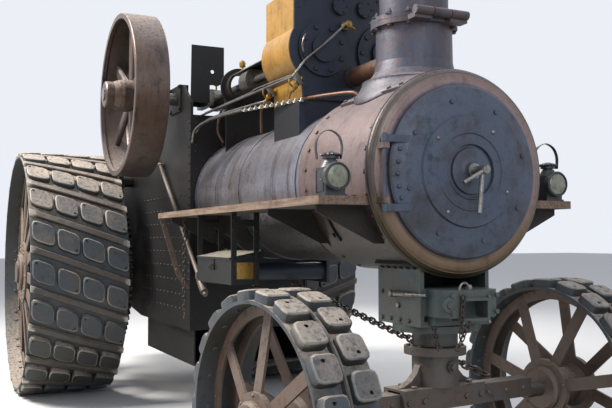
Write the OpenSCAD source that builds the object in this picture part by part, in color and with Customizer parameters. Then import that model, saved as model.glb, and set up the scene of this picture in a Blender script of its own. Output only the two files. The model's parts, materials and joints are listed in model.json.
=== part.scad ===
// Steam traction engine with a double cylinder, block treads and chain steering.
// Millimetres. +X forward, +Y to the engine's left, +Z up. The origin lies on the ground
// under the middle of the engine's box. Lengths along X are stated from the rear axle.

/* [Wheelbase and steering] */
// Distance from the rear axle to the steering pivot
wheelbase = 4393; // [4250:1:4550]
// Angle that the front axle stands turned to the left
steer_rest = 7; // [0:0.5:10]

/* [Rear wheels] */
// Radius over the tread blocks
rear_r = 1067; // [1040:1:1090]
// Width of the rim
rear_w = 770; // [720:1:800]
// Distance from the centre line to the inner edge of the rim
rear_in = 664; // [650:1:680]
// Height of the tread blocks above the rim
block_h = 45; // [30:1:50]
// Rows of blocks round the rear wheel
rear_rows = 21; // [18:1:24]
// Blocks across the rear rim
rear_across = 4; // [3:1:5]
// Length and width of a tread block
rear_block = 166; // [150:1:176]
// Angle that a slanted strake covers across the rim
rear_slant = 15.5; // [6:0.5:18]
// Width of a strake
strake_w = 50; // [36:1:60]
// Thickness of the rims
rim_t = 16; // [10:1:22]
// Radius of the rear axle
rear_axle_r = 70; // [50:1:80]
// Radius of the rear hubs
rear_hub_r = 135; // [120:1:150]
// Radius of the flanges that the rear spokes are bolted to
rear_flange_r = 270; // [250:1:290]
// Spokes on each side of a rear wheel
rear_spokes = 12; // [10:1:16]

/* [Front wheels] */
// Radius over the tread blocks
front_r = 572; // [540:1:600]
// Width of the rim
front_w = 284; // [240:1:320]
// Distance from the steering pivot to the middle of the wheel
front_track = 862; // [850:1:900]
// Blocks in each of the two rows
front_rows = 22; // [18:1:26]
// Length of a tread block round the front wheel
front_block = 108; // [90:1:120]
// Radius of the front axle's ends
front_axle_r = 38; // [30:1:45]
// Radius of the front hubs
front_hub_r = 92; // [80:1:100]
// Radius of the flanges that the front spokes are bolted to
front_flange_r = 150; // [130:1:165]
// Spokes on each side of a front wheel
front_spokes = 7; // [5:1:9]

/* [Boiler] */
// Height of the boiler's axis
boiler_z = 1653; // [1640:1:1680]
// Radius of the barrel over its cladding
barrel_r = 430; // [410:1:440]
// Radius of the smokebox shell
smoke_r = 460; // [450:1:465]
// Radius of the ring round the smokebox front
ring_r = 479; // [472:1:490]
// Thickness of the smokebox shell
smoke_t = 12; // [8:1:16]
// Distance from the rear axle to the ring's front face
ring_x = 4622; // [4560:1:4680]
// Length of the smokebox
smoke_l = 780; // [700:1:820]
// Radius of the smokebox door
door_r = 397; // [380:1:410]
// Distance from the rear axle to the throat plate
throat_x = 2000; // [1950:1:2050]
// Distance from the rear axle to the backhead
backhead_x = 620; // [600:1:680]
// Height of the bottom of the firebox
firebox_z = 700; // [660:1:740]
// Thickness of the firebox walls with their water space
firebox_t = 90; // [60:1:110]
// Radius of the firehole
firehole_r = 160; // [140:1:180]
// Height of the middle of the firehole
firehole_z = 1300; // [1280:1:1320]

/* [Chimney] */
// Distance from the rear axle to the chimney's axis
chimney_x = 4230; // [4200:1:4260]
// Radius of the stack at its foot
chimney_r = 170; // [150:1:185]
// Radius of the flanges at the fold
chimney_flange_r = 216; // [205:1:230]
// Height of the fold
chimney_fold_z = 2415; // [2390:1:2440]
// Height of the top of the chimney
chimney_top_z = 3450; // [3350:1:3500]

/* [Cylinders and motion] */
// Distance from the rear axle to the crankshaft
crank_x = 1659; // [1640:1:1680]
// Height of the crankshaft and of the cylinders
crank_z = 2415; // [2405:1:2435]
// Distance from the centre line to each cylinder's axis
cylinder_y = 200; // [195:1:205]
// Length of the cylinder block
cylinder_l = 390; // [370:1:420]
// Distance from the rear axle to the front of the cylinder block
cylinder_x = 3590; // [3560:1:3620]
// Radius of the jacket round each cylinder
jacket_r = 202; // [198:1:210]
// Radius of the cover on the small right-hand cylinder
cover_small_r = 153; // [145:1:160]
// Radius of the cover on the large left-hand cylinder
cover_large_r = 180; // [172:1:182]
// Half the width of the valve chest
chest_hw = 372; // [360:1:380]
// Height of the top of the valve chest
chest_top = 2750; // [2720:1:2780]
// Distance from the rear axle to the motion plate, where the guides end
motion_x = 2290; // [2270:1:2320]
// Radius of the crankshaft
crank_r = 45; // [40:1:50]
// Throw of the cranks
crank_throw = 150; // [130:1:160]

/* [Flywheel] */
// Radius of the flywheel
fly_r = 598; // [580:1:610]
// Width of the belt face
fly_w = 237; // [200:1:245]
// Distance from the centre line to the outer edge of the belt face
fly_out = 923; // [915:1:935]
// Spokes of the flywheel
fly_spokes = 6; // [5:1:8]

/* [Gearing] */
// Module of the final drive teeth
gear_m = 18.6; // [18:0.1:19]
// Teeth of the final drive wheel
gear_teeth = 75; // [70:5:80]
// Teeth of the final drive pinion
pinion_teeth = 15; // [14:1:16]
// Width of the final drive teeth
gear_w = 80; // [60:1:85]
// Distance from the rear axle to the third shaft, along X
third_x = 200; // [180:1:220]
// Radius of the second and third shafts
shaft_r = 45; // [35:1:50]

/* [Frame] */
// Distance from the centre line to the outside of the hornplates
horn_y = 465; // [460:1:470]
// Thickness of the hornplates
horn_t = 20; // [12:1:24]
// Distance from the rear axle to the rear end of the tender
tender_x = 1750; // [1700:1:1800]
// Half the width of the tender
tender_hw = 520; // [500:1:530]
// Height of the tender's bottom
tender_low = 760; // [740:1:800]
// Height of the floor of the coal space
coal_z = 1180; // [1120:1:1240]
// Height of the tender's top edge
tender_z = 1760; // [1740:1:1770]
// Distance that the tender keeps behind the rear axle
tender_front = 300; // [290:1:320]
// Radius of the tender's rear corners
tender_corner = 140; // [80:1:200]
// Thickness of the tender's plates
plate_t = 10; // [6:1:12]
// Radius of the hole for the drawbar pin
drawpin_r = 24; // [18:1:30]
// Distance from the centre line to the outer edge of the running boards
board_y = 700; // [680:1:720]
// Height of the running boards' top
board_z = 1537; // [1520:1:1560]
// Thickness of the running boards
board_t = 38; // [30:1:45]

/* [Hidden] */
$fn = 64;
run = 0.05;                    // radial clearance of a shaft that runs in a bore
gap = 0.3;                     // clearance of seated curved faces
drawbar_end = 120;             // reach of the drawbar behind the tender
front_hw = front_w / 2;
rear_mid = rear_in + rear_w / 2;
front_rim_r = front_r - block_h;
rear_rim_r = rear_r - block_h;
// The foremost point is the turned right front wheel, the rearmost one the drawbar.
front_reach = wheelbase + front_track * sin(steer_rest) + front_r * cos(steer_rest)
    + front_hw * sin(steer_rest);
rear_reach = tender_x + drawbar_end;
rear_x = -(front_reach - rear_reach) / 2;
gear_pitch_r = gear_m * gear_teeth / 2;
pinion_pitch_r = gear_m * pinion_teeth / 2;
third_dz = sqrt(pow(gear_pitch_r + pinion_pitch_r, 2) - pow(third_x, 2));
third_z = rear_r + third_dz;
mesh_angle = -atan2(third_dz, third_x);
gear_in = rear_in - 24 - gear_w;       // inner face of the final drive teeth
smoke_back = ring_x - smoke_l;
firebox_hw = horn_y - horn_t;          // half the width of the firebox between the hornplates

// Puts a piece that is drawn from the rear axle into the engine's own frame
module from_axle() translate([rear_x, 0, 0]) children();

// A local +Z axis laid along +Y, with its origin at x, y, z
module about_y(x, y, z) translate([x, y, z]) rotate([-90, 0, 0]) children();

// A local +Z axis laid along +X
module about_x(x, y, z) translate([x, y, z]) rotate([0, 90, 0]) children();

// A plain ring or disc from height a to height b
module ring(ro, ri, a, b) translate([0, 0, a]) difference() {
    cylinder(r = ro, h = b - a);
    if (ri > 0) translate([0, 0, -1]) cylinder(r = ri, h = b - a + 2);
}

// A round bar from point p to point q
module bar(p, q, r) {
    d = q - p;
    translate(p) rotate([0, acos(d[2] / norm(d)), atan2(d[1], d[0])]) cylinder(r = r, h = norm(d));
}

// A flat shape with its x along +Y and its y along +Z, to be raised along +X
module across(x) translate([x, 0, 0]) rotate([90, 0, 90]) children();

// The right-hand and left-hand copy of a piece
module both_sides() {
    children();
    mirror([0, 1, 0]) children();
}

// A gear outline: trapezoid teeth of module m with some backlash
module gear_outline(m, teeth) {
    r = m * teeth / 2;
    root = r - 1.15 * m;
    tip = r + 0.9 * m;
    pitch = 360 / teeth;
    polygon([for (i = [0 : teeth - 1]) for (p = [[root, -0.33], [tip, -0.14], [tip, 0.14], [root, 0.33]])
        p[0] * [cos((i + p[1]) * pitch), sin((i + p[1]) * pitch)]]);
}

/* Wheels, drawn round a local Z axis that points outwards. */

// A flat pad on the rear rim, w wide across it and a long round it, its ends slanted by skew
module tread_pad(z, w, a, skew) {
    reach = a / 2 + skew * w / 2;
    top = sqrt(rear_r * rear_r - reach * reach);           // the pad's corners reach the wheel's radius
    rotate([0, 0, -z / rear_w * rear_slant]) translate([0, 0, z]) rotate([0, 90, 0])
        translate([0, 0, rear_rim_r - 8]) linear_extrude(top - rear_rim_r + 8)
            polygon([[-w / 2, -reach], [-w / 2, reach - skew * w],
                [w / 2, reach], [w / 2, skew * w - reach]]);
}

// The rear rim: a flat tyre with slanted strakes and rows of blocks
module rear_rim() {
    pitch = 360 / rear_rows;
    skew = 2 * PI * rear_r * rear_slant / 360 / rear_w;    // sideways run of the slant per mm of width
    strake_half = rear_w / 2 - 2;                          // a strake stops just short of the tyre's edges
    ring(rear_rim_r, rear_rim_r - rim_t, -rear_w / 2, rear_w / 2);
    for (i = [0 : rear_rows - 1]) rotate([0, 0, 90 + i * pitch]) {
        for (j = [0 : rear_across - 1])
            tread_pad((j + 0.5) * rear_w / rear_across - rear_w / 2, rear_block, rear_block, skew);
        rotate([0, 0, pitch / 2]) for (h = [-1, 1])
            tread_pad(h * strake_half / 2, strake_half, strake_w, skew);
    }
}

// Spokes from two hub flanges to stiffening rings, with the hub
module wheel_centre(rim_in, ring_z, ring_d, hub_r, hub_z, flange_r, spokes, spoke_w, spoke_t, bore) {
    flange_z = hub_z - 44;
    outer = rim_in - ring_d / 2;
    inner = flange_r - 60;
    half = [[0, hub_r], [flange_z - 40, hub_r], [flange_z - 16, hub_r + 22], [flange_z - 14, flange_r],
        [flange_z + 14, flange_r], [flange_z + 16, hub_r + 22], [hub_z - 12, hub_r + 22], [hub_z, hub_r + 8]];
    difference() {
        union() {
            rotate_extrude() polygon(concat([[0, -hub_z]], [for (i = [len(half) - 1 : -1 : 1])
                [half[i][1], -half[i][0]]], [for (p = half) [p[1], p[0]]], [[0, hub_z]]));
            for (s = [-1, 1]) {
                ring(rim_in - gap, rim_in - ring_d, s * ring_z - 7, s * ring_z + 7);
                dz = s * (ring_z - flange_z);
                for (i = [0 : spokes - 1]) rotate([0, 0, (i + s / 4) * 360 / spokes])
                    translate([inner, 0, s * flange_z]) rotate([0, -atan2(dz, outer - inner), 0])
                        translate([0, -spoke_w / 2, -spoke_t / 2])
                            cube([norm([outer - inner, dz]), spoke_w, spoke_t]);
            }
        }
        cylinder(r = bore, h = 2 * hub_z + 100, center = true);
    }
}

// The front rim: a tyre with a middle rib and two rows of staggered blocks
module front_rim() {
    pitch = 360 / front_rows;
    block_w = front_hw - 24;
    top = sqrt(front_r * front_r - front_block * front_block / 4);
    ring(front_rim_r, front_rim_r - rim_t, -front_hw, front_hw);
    ring(front_rim_r + 24, front_rim_r - 4, -9, 9);
    for (s = [-1, 1]) for (i = [0 : front_rows - 1]) rotate([0, 0, 90 + (i + (s + 1) / 4) * pitch])
        translate([front_rim_r - 4, -front_block / 2, s * (front_hw - 8 - block_w / 2) - block_w / 2])
            cube([top - front_rim_r + 4, front_block, block_w]);
}

module on_rear_right() from_axle() about_y(0, -rear_mid, rear_r) mirror([0, 0, 1]) children();

module rear_rim_right() color("dimgray") on_rear_right() rear_rim();
module rear_rim_left() color("dimgray") mirror([0, 1, 0]) on_rear_right() rear_rim();

rear_hub_z = rear_w / 2 - 20;
module rear_centre() wheel_centre(rear_rim_r - rim_t, rear_w / 2 - 130, 70, rear_hub_r, rear_hub_z,
    rear_flange_r, rear_spokes, 84, 14, rear_axle_r + run);
module rear_spokes_right() color("saddlebrown") on_rear_right() rear_centre();
module rear_spokes_left() color("saddlebrown") mirror([0, 1, 0]) on_rear_right() rear_centre();

// The final drive wheel beside the rear wheel, with a tooth on the line to its pinion
module bull_gear() from_axle() about_y(0, gear_in, rear_r) {
    difference() {
        rotate([0, 0, mesh_angle]) linear_extrude(gear_w) gear_outline(gear_m, gear_teeth);
        translate([0, 0, -1]) cylinder(r = gear_pitch_r - 70, h = gear_w + 2);
    }
    translate([0, 0, gear_w / 2]) {
        for (i = [0 : 7]) rotate([0, 0, i * 45]) translate([150, -32, -14])
            cube([gear_pitch_r - 70 - 140, 64, 28]);
        ring(170, rear_axle_r + run, -gear_w / 2, gear_w / 2);
    }
}
module bull_gear_left() color("darkslategray") bull_gear();
module bull_gear_right() color("darkslategray") mirror([0, 1, 0]) bull_gear();

// The pinion has a gap on the line to the axle
module pinion() from_axle() about_y(third_x, gear_in - 6, third_z) difference() {
    rotate([0, 0, mesh_angle + 180 + 180 / pinion_teeth])
        linear_extrude(gear_w + 12) gear_outline(gear_m, pinion_teeth);
    translate([0, 0, -1]) cylinder(r = shaft_r + run, h = gear_w + 20);
}
module pinion_left() color("slategray") pinion();
module pinion_right() color("slategray") mirror([0, 1, 0]) pinion();

module rear_axle() color("dimgray") from_axle() {
    about_y(0, 0, rear_r) cylinder(r = rear_axle_r, h = 2 * (rear_mid + rear_hub_z + 18), center = true);
    both_sides() about_y(0, rear_mid + rear_hub_z + 2, rear_r) cylinder(r = rear_axle_r + 26, h = 16);
}

/* Gearing between crankshaft and third shaft, on the engine's left. */
lane_y = horn_y + 15;
lane_w = gear_in - 12 - lane_y;
crank_dx = crank_x - third_x;
crank_dz = crank_z - third_z;
train = norm([crank_dx, crank_dz]);
spur_m = 14;
third_teeth = round(train * 0.32 / spur_m * 2);
second_small = round(train * 0.11 / spur_m * 2);
second_d = (third_teeth + second_small) * spur_m / 2 + 1;
second_big = floor((second_d - shaft_r - 12) / spur_m * 2 - 2);   // clears the third shaft
second_z = boiler_z + firebox_hw + shaft_r + 20;       // clears the firebox crown
second_x = third_x + sqrt(pow(second_d, 2) - pow(second_z - third_z, 2));
train_angle = -atan2(second_z - third_z, second_x - third_x);

module spoked_gear(m, teeth, w, bore) {
    r = m * teeth / 2;
    difference() {
        linear_extrude(w) gear_outline(m, teeth);
        translate([0, 0, -1]) cylinder(r = r - 2.8 * m, h = w + 2);
    }
    for (i = [0 : 5]) rotate([0, 0, i * 60]) translate([bore + 20, -25, w / 2 - 10])
        cube([r - 2.5 * m - bore - 20, 50, 20]);
    ring(bore + 55, bore, 0, w);
}

module third_shaft() color("slategray") from_axle() {
    about_y(third_x, 0, third_z) cylinder(r = shaft_r, h = 2 * (gear_in + gear_w + 14), center = true);
    about_y(third_x, lane_y, third_z) rotate([0, 0, train_angle])
        spoked_gear(spur_m, third_teeth, lane_w / 2 - 3, shaft_r - 1);
}

module second_shaft() color("slategray") from_axle() {
    about_y(second_x, 0, second_z) cylinder(r = shaft_r, h = 2 * (lane_y + lane_w), center = true);
    about_y(second_x, lane_y, second_z) rotate([0, 0, train_angle + 180 + 180 / second_small])
        linear_extrude(lane_w / 2 - 3) gear_outline(spur_m, second_small);
    about_y(second_x, lane_y + lane_w / 2, second_z)
        spoked_gear(spur_m, second_big, lane_w / 2, shaft_r - 1);
}

/* Boiler */
module boiler_barrel() color("silver") from_axle() {
    about_x(throat_x, 0, boiler_z) cylinder(r = barrel_r, h = smoke_back + 60 - throat_x);
    for (x = [20, 400, 840, 1680])
        about_x(throat_x + x, 0, boiler_z) ring(barrel_r + 5, barrel_r - 5, 0, 60);
}

module firebox_outline(inset) {
    translate([-boiler_z, 0]) circle(r = firebox_hw - inset);
    translate([-boiler_z, -firebox_hw + inset])
        square([boiler_z - firebox_z, 2 * (firebox_hw - inset)]);
}
module firebox() color("darkslategray") from_axle() {
    fire_door_lugs();
    firebox_shell();
}
module firebox_shell() difference() {
    about_x(backhead_x, 0, 0) linear_extrude(throat_x - backhead_x) firebox_outline(0);
    translate([backhead_x + firebox_t, -firebox_hw + firebox_t, firebox_z - 1])
        cube([throat_x - backhead_x - 2 * firebox_t, 2 * (firebox_hw - firebox_t),
            boiler_z - 80 - firebox_z]);
    about_x(backhead_x - 1, 0, firehole_z) cylinder(r = firehole_r, h = firebox_t + 2);
}
module fire_door_lugs() for (z = [-95, 65]) difference() {
    translate([door_pin_x - 18, door_pin_y - 22, firehole_z + z])
        cube([backhead_x + 5 - door_pin_x + 18, 44, 30]);
    translate([door_pin_x, door_pin_y, firehole_z + z - 1]) cylinder(r = 12 + run, h = 32);
}
door_pin_x = backhead_x - 18;
door_pin_y = -firehole_r - 80;
module fire_door() color("dimgray") from_axle() {
    about_x(backhead_x - 26, 0, firehole_z) cylinder(r = firehole_r + 30, h = 20);
    translate([backhead_x - 28, door_pin_y, firehole_z - 60]) cube([22, 70, 120]);
    translate([door_pin_x, door_pin_y, firehole_z - 95]) cylinder(r = 12, h = 190);
}
module ash_pan() color("dimgray") from_axle() difference() {
    translate([backhead_x + 40, -firebox_hw + 30, firebox_z - 260])
        cube([throat_x - backhead_x - 80, 2 * firebox_hw - 60, 260]);
    translate([backhead_x + 50, -firebox_hw + 40, firebox_z - 250])
        cube([throat_x - backhead_x - 60, 2 * firebox_hw - 80, 260]);
}

module smokebox() color("rosybrown") from_axle() {
    about_x(smoke_back, 0, boiler_z) {
        difference() {
            cylinder(r = smoke_r, h = smoke_l - 10);
            translate([0, 0, 60 + gap]) cylinder(r = smoke_r - smoke_t, h = smoke_l);
            translate([0, 0, -1]) cylinder(r = barrel_r + gap, h = 62 + gap);
            translate([-smoke_r, 0, chimney_x - smoke_back]) rotate([0, 90, 0])
                cylinder(r = chimney_r - 20, h = 100, center = true);
        }
        translate([0, 0, smoke_l]) rotate_extrude() polygon(concat([[door_r - 45, 0], [door_r - 45, -50],
            [ring_r + 3, -50], [ring_r + 3, -43], [ring_r, -42]],
            [for (a = [75 : -15 : 0]) [ring_bead_r + (ring_r - ring_bead_r) * sin(a), 40 * (cos(a) - 1)]]));
    }
    for (z = hinge_lugs) difference() {
        translate([ring_x - 44, hinge_y - 16, boiler_z + z]) cube([88, 32, 26]);
        translate([ring_x + 28, hinge_y, boiler_z + z - 1]) cylinder(r = hinge_pin_r + run, h = 28);
    }
}
hinge_pin_r = 9;
hinge_lugs = [88, -150];       // the ring's lugs, between the door's two straps
ring_bead_r = door_r + 18;     // the ring is rounded outside this radius
hinge_y = -door_r - 30;
module smokebox_door() color("slategray") from_axle() {
    about_x(ring_x + 3, 0, boiler_z) rotate_extrude()
        polygon([[0, 0], [door_r, 0], [door_r, 15], [door_r - 9, 22], [330, 38], [256, 47],
            [250, 58], [180, 63], [177, 67], [171, 67], [168, 63], [130, 65], [126, 71],
            [121, 71], [117, 58], [107, 58], [103, 68],
            [60, 74], [45, 78], [0, 78]]);
    for (z = [116, -184]) {
        translate([ring_x + 16, hinge_y, boiler_z + z]) cube([24, 130, 32]);
        translate([ring_x + 28, hinge_y, boiler_z + z]) cylinder(r = 15, h = 32);
    }
    translate([ring_x + 28, hinge_y, boiler_z - 190]) cylinder(r = hinge_pin_r, h = 345);
}
module door_darts() color("gainsboro") from_axle() {
    about_x(ring_x + 81 + gap, 0, boiler_z) {
        cylinder(r = 34, h = 14);
        cylinder(r = 19, h = 98);
    }
    bar([ring_x + 148, 0, boiler_z], [ring_x + 148, -20, boiler_z - 190], 11);
    bar([ring_x + 170, 6, boiler_z + 3], [ring_x + 162, -112, boiler_z - 61], 9);
}

/* Chimney */
module chimney_foot(extra) translate([chimney_x, 0, 0]) rotate_extrude() polygon([[0, saddle_foot_z],
    [chimney_foot_r + extra, saddle_foot_z], [chimney_foot_r + extra, saddle_top_z],
    [chimney_r + 55 + extra, saddle_top_z + 16], [chimney_r + 32 + extra, saddle_top_z + 48],
    [chimney_r + 22 + extra, saddle_top_z + 96], [chimney_r + 20 + extra, chimney_fold_z - 60],
    [chimney_r + 20 + extra, chimney_fold_z - 24], [0, chimney_fold_z - 24]]);
module chimney_base() color("sienna") from_axle() difference() {
    union() {
        chimney_foot(0);
        translate([chimney_x, 0, chimney_fold_z - 24]) cylinder(r = chimney_flange_r, h = 24);
        for (y = [-150, 52]) {
            about_y(fold_x, y, chimney_fold_z + 12) cylinder(r = 22, h = 98);
            translate([fold_x - 60, y, chimney_fold_z - 24]) cube([60, 98, 23]);
        }
    }
    about_y(fold_x, -160, chimney_fold_z + 12) cylinder(r = 12 + run, h = 320);
    translate([chimney_x, 0, chimney_fold_z]) cylinder(r = chimney_flange_r + 2, h = 40);
    translate([chimney_x, 0, boiler_z]) cylinder(r = chimney_r - 14, h = 1000);
    about_x(chimney_x - 400, 0, boiler_z) cylinder(r = smoke_r + gap, h = 800);
}
chimney_foot_r = 262;
saddle_top_z = boiler_z + smoke_r + 12;
saddle_foot_z = boiler_z + smoke_r - 110;
fold_x = chimney_x + chimney_flange_r + 24;
module chimney_stack() color("sienna") from_axle() {
    translate([chimney_x, 0, chimney_fold_z + 1]) difference() {
        union() {
            cylinder(r1 = chimney_r, r2 = chimney_r + 14, h = chimney_top_z - chimney_fold_z - 90);
            cylinder(r = chimney_flange_r, h = 24);
            translate([0, 0, chimney_top_z - chimney_fold_z - 90])
                cylinder(r1 = chimney_r + 14, r2 = chimney_r + 60, h = 60);
            translate([0, 0, chimney_top_z - chimney_fold_z - 31]) cylinder(r = chimney_r + 60, h = 30);
        }
        translate([0, 0, -1]) cylinder(r1 = chimney_r - 14, r2 = chimney_r, h = chimney_top_z);
    }
    about_y(fold_x, 0, chimney_fold_z + 12) cylinder(r = 12, h = 300, center = true);
    translate([fold_x - 60, -48, chimney_fold_z + 1]) cube([60, 96, 22]);
    about_y(fold_x, -48, chimney_fold_z + 12) cylinder(r = 22, h = 96);
}

/* Cylinders and motion */
cylinder_back = cylinder_x - cylinder_l;
saddle_hw = 320;               // half the width of the saddle on the boiler
apron_z = 2130;                // the cladding ends at this height
plate_front = 14;              // thickness of the front plate
back_cover = 26;               // thickness of the covers behind
// The two jackets seen along the engine, with the valve chest on top and the part down to low below
module block_outline(low) {
    for (s = [-1, 1]) translate([s * cylinder_y, crank_z]) circle(r = jacket_r);
    translate([-chest_hw, crank_z]) square([2 * chest_hw, chest_top - crank_z]);
    translate([-saddle_hw, low]) square([2 * saddle_hw, crank_z - low]);
}
module cylinder_block() color("goldenrod") from_axle()
    across(cylinder_back) linear_extrude(cylinder_l) block_outline(apron_z);
module cylinder_covers() color("darkslategray") from_axle() {
    difference() {
        translate([cylinder_back + 30, -saddle_hw - 12, boiler_z + 200])
            cube([cylinder_l - 40, 2 * saddle_hw + 24, apron_z - boiler_z - 200]);
        about_x(cylinder_back, 0, boiler_z) cylinder(r = barrel_r + gap, h = cylinder_l + 20, $fn = 128);
    }
    across(cylinder_x) linear_extrude(plate_front) block_outline(apron_z);
    // side, radius of the cover and of its boss
    for (c = [[-1, cover_small_r, 77], [1, cover_large_r, 92]]) {
        about_x(cylinder_x, c[0] * cylinder_y, crank_z) {
            cylinder(r = c[1], h = plate_front + 18);
            cylinder(r = c[2], h = plate_front + 38);
        }
        about_x(cylinder_back - back_cover, c[0] * cylinder_y, crank_z) cylinder(r = 146, h = back_cover);
    }
    for (y = [-90, 70]) about_x(cylinder_x, y, crank_z + 255) cylinder(r = 50, h = plate_front + 20);
    translate([cylinder_back + 40, -chest_hw + 60, chest_top])
        cube([cylinder_l - 80, 2 * chest_hw - 120, 24]);
}
module safety_valves() color("goldenrod") from_axle() both_sides()
    translate([cylinder_back + cylinder_l / 2, 90, chest_top + 24]) {
        cylinder(r = 60, h = 24);
        cylinder(r = 38, h = 150);
        translate([0, 0, 120]) cylinder(r = 50, h = 18);
        translate([0, 0, 150]) cylinder(r = 12, h = 40);
    }
guide_l = cylinder_back - back_cover - motion_x;
guide_flange_r = 115;
module motion_guides() color("dimgray") from_axle() both_sides()
    about_x(motion_x, cylinder_y, crank_z) difference() {
        union() {
            cylinder(r = 105, h = guide_l);
            cylinder(r = guide_flange_r, h = 26);
        }
        translate([0, 0, -1]) cylinder(r = 88, h = guide_l + 2);
        translate([-70, -200, 80]) cube([140, 400, guide_l - 160]);
    }
// Side of each crank, and the angle that it stands above the line to its cylinder
cranks = [[-1, 0], [1, 90]];
rod_l = 760;
function crank_pin(c) =
    [crank_x + crank_throw * cos(c[1]), c[0] * cylinder_y, crank_z + crank_throw * sin(c[1])];
function crosshead_x(c) = crank_pin(c)[0] + sqrt(rod_l * rod_l - pow(crank_throw * sin(c[1]), 2));
module motion_rods() color("silver") from_axle() for (c = cranks) {
    pin = crank_pin(c);
    head = [crosshead_x(c), pin[1], crank_z];
    about_x(head[0] - 60, head[1], crank_z) difference() {
        cylinder(r = 87, h = 130);
        translate([70, -100, -1]) cube([40, 200, 132]);
        translate([-110, -100, -1]) cube([40, 200, 132]);
    }
    about_x(head[0], head[1], crank_z) cylinder(r = 28, h = cylinder_back - back_cover - head[0]);
    difference() {
        union() {
            bar(head, pin, 30);
            about_y(pin[0], pin[1] - 40, pin[2]) cylinder(r = 75, h = 80);
        }
        about_y(pin[0], pin[1] - 60, pin[2]) cylinder(r = crank_r + gap, h = 120);
    }
}
module crankshaft() color("silver") from_axle() about_y(crank_x, 0, crank_z) {
    web_y = 63;                // distance from the pin's middle to a web's middle
    cylinder(r = crank_r, h = 2 * (cylinder_y - web_y - 22), center = true);
    for (c = cranks) rotate([0, 0, 90 - c[1]]) translate([0, 0, c[0] * cylinder_y]) {
        translate([0, -crank_throw, 0]) cylinder(r = crank_r, h = 90, center = true);
        for (t = [-web_y, web_y]) translate([-60, -crank_throw - 60, t - 22])
            cube([120, crank_throw + 120, 44]);
    }
    shaft_in = cylinder_y + web_y + 17;
    translate([0, 0, shaft_in]) cylinder(r = crank_r, h = lane_y + lane_w - shaft_in);
    translate([0, 0, -fly_out - 100]) cylinder(r = crank_r, h = fly_out + 100 - shaft_in);
}
module crank_bearings() color("darkslategray") from_axle() both_sides() {
    about_y(crank_x, horn_y - horn_t - 40, crank_z) ring(95, crank_r + run, 0, horn_t + 50);
    difference() {
        translate([crank_x - 130, horn_y + gap, crank_z - 105]) cube([260, 12, 200]);
        about_y(crank_x, horn_y, crank_z) cylinder(r = 90, h = 20);
    }
    difference() {
        translate([crank_x - 110, horn_y - horn_t - 38, crank_z - 98]) cube([220, 37, 196]);
        about_y(crank_x, horn_y - horn_t - 60, crank_z) cylinder(r = 90, h = 80);
    }
}

module flywheel() color("peru") from_axle() about_y(crank_x, -fly_out, crank_z) {
    rim_in = fly_r - 28;
    rotate_extrude($fn = 96) polygon([[rim_in - 12, 0], [fly_r - 5, 0], [fly_r, 6], [fly_r, fly_w - 6],
        [fly_r - 5, fly_w], [rim_in - 12, fly_w], [rim_in - 12, fly_w - 26], [rim_in, fly_w - 40],
        [rim_in, 40], [rim_in - 12, 26]]);
    for (i = [0 : fly_spokes - 1]) rotate([0, 0, (i + 0.5) * 360 / fly_spokes])
        translate([85, 0, fly_w / 2]) rotate([0, 90, 0]) linear_extrude(rim_in - 82) {
            square([44, 40], center = true);
            for (s = [-1, 1]) translate([0, s * 20]) circle(r = 22, $fn = 24);
        }
    rotate_extrude() polygon([[crank_r + run, -90], [88, -90], [96, -82], [96, -30], [112, 10], [118, 40],
        [118, fly_w - 70], [104, fly_w - 50], [crank_r + run, fly_w - 50]]);
}
// Plate that carries the free ends of the guides, with a slot for the valve rods
module motion_plate() color("darkslategray") from_axle() difference() {
    across(motion_x) linear_extrude(20) {
        for (s = [-1, 1]) translate([s * cylinder_y, crank_z]) circle(r = 138);
        translate([-cylinder_y, crank_z - 130]) square([2 * cylinder_y, 200]);
        translate([-300, boiler_z + barrel_r * 0.6]) square([600, crank_z - boiler_z - barrel_r * 0.6]);
    }
    about_x(motion_x - 1, 0, boiler_z) cylinder(r = barrel_r + gap, h = 22);
    both_sides() about_x(motion_x - 1, cylinder_y, crank_z) cylinder(r = guide_flange_r + gap, h = 22);
    both_sides() about_x(motion_x - 1, spindle_y, crank_z) cylinder(r = 19, h = 22);
}
spindle_y = 69;                // distance from the centre line to each valve spindle
link_x = 2180;
// Sheaves between the cranks, with a rod from each to the valve chests
module valve_gear() color("gray") from_axle() both_sides() {
    for (r = [[-15, -1], [15, 1]]) {
        about_y(crank_x, spindle_y + r[0] - 10, crank_z) ring(80, crank_r + gap, 0, 20);
        bar([crank_x + 66, spindle_y + r[0], crank_z + r[1] * 20],
            [link_x, spindle_y + r[0], crank_z + r[1] * 92], 10);
    }
    translate([link_x - 16, spindle_y - 26, crank_z - 118]) cube([32, 52, 236]);
    about_x(link_x, spindle_y, crank_z) cylinder(r = 13, h = cylinder_back - back_cover - gap - link_x);
}

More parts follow.
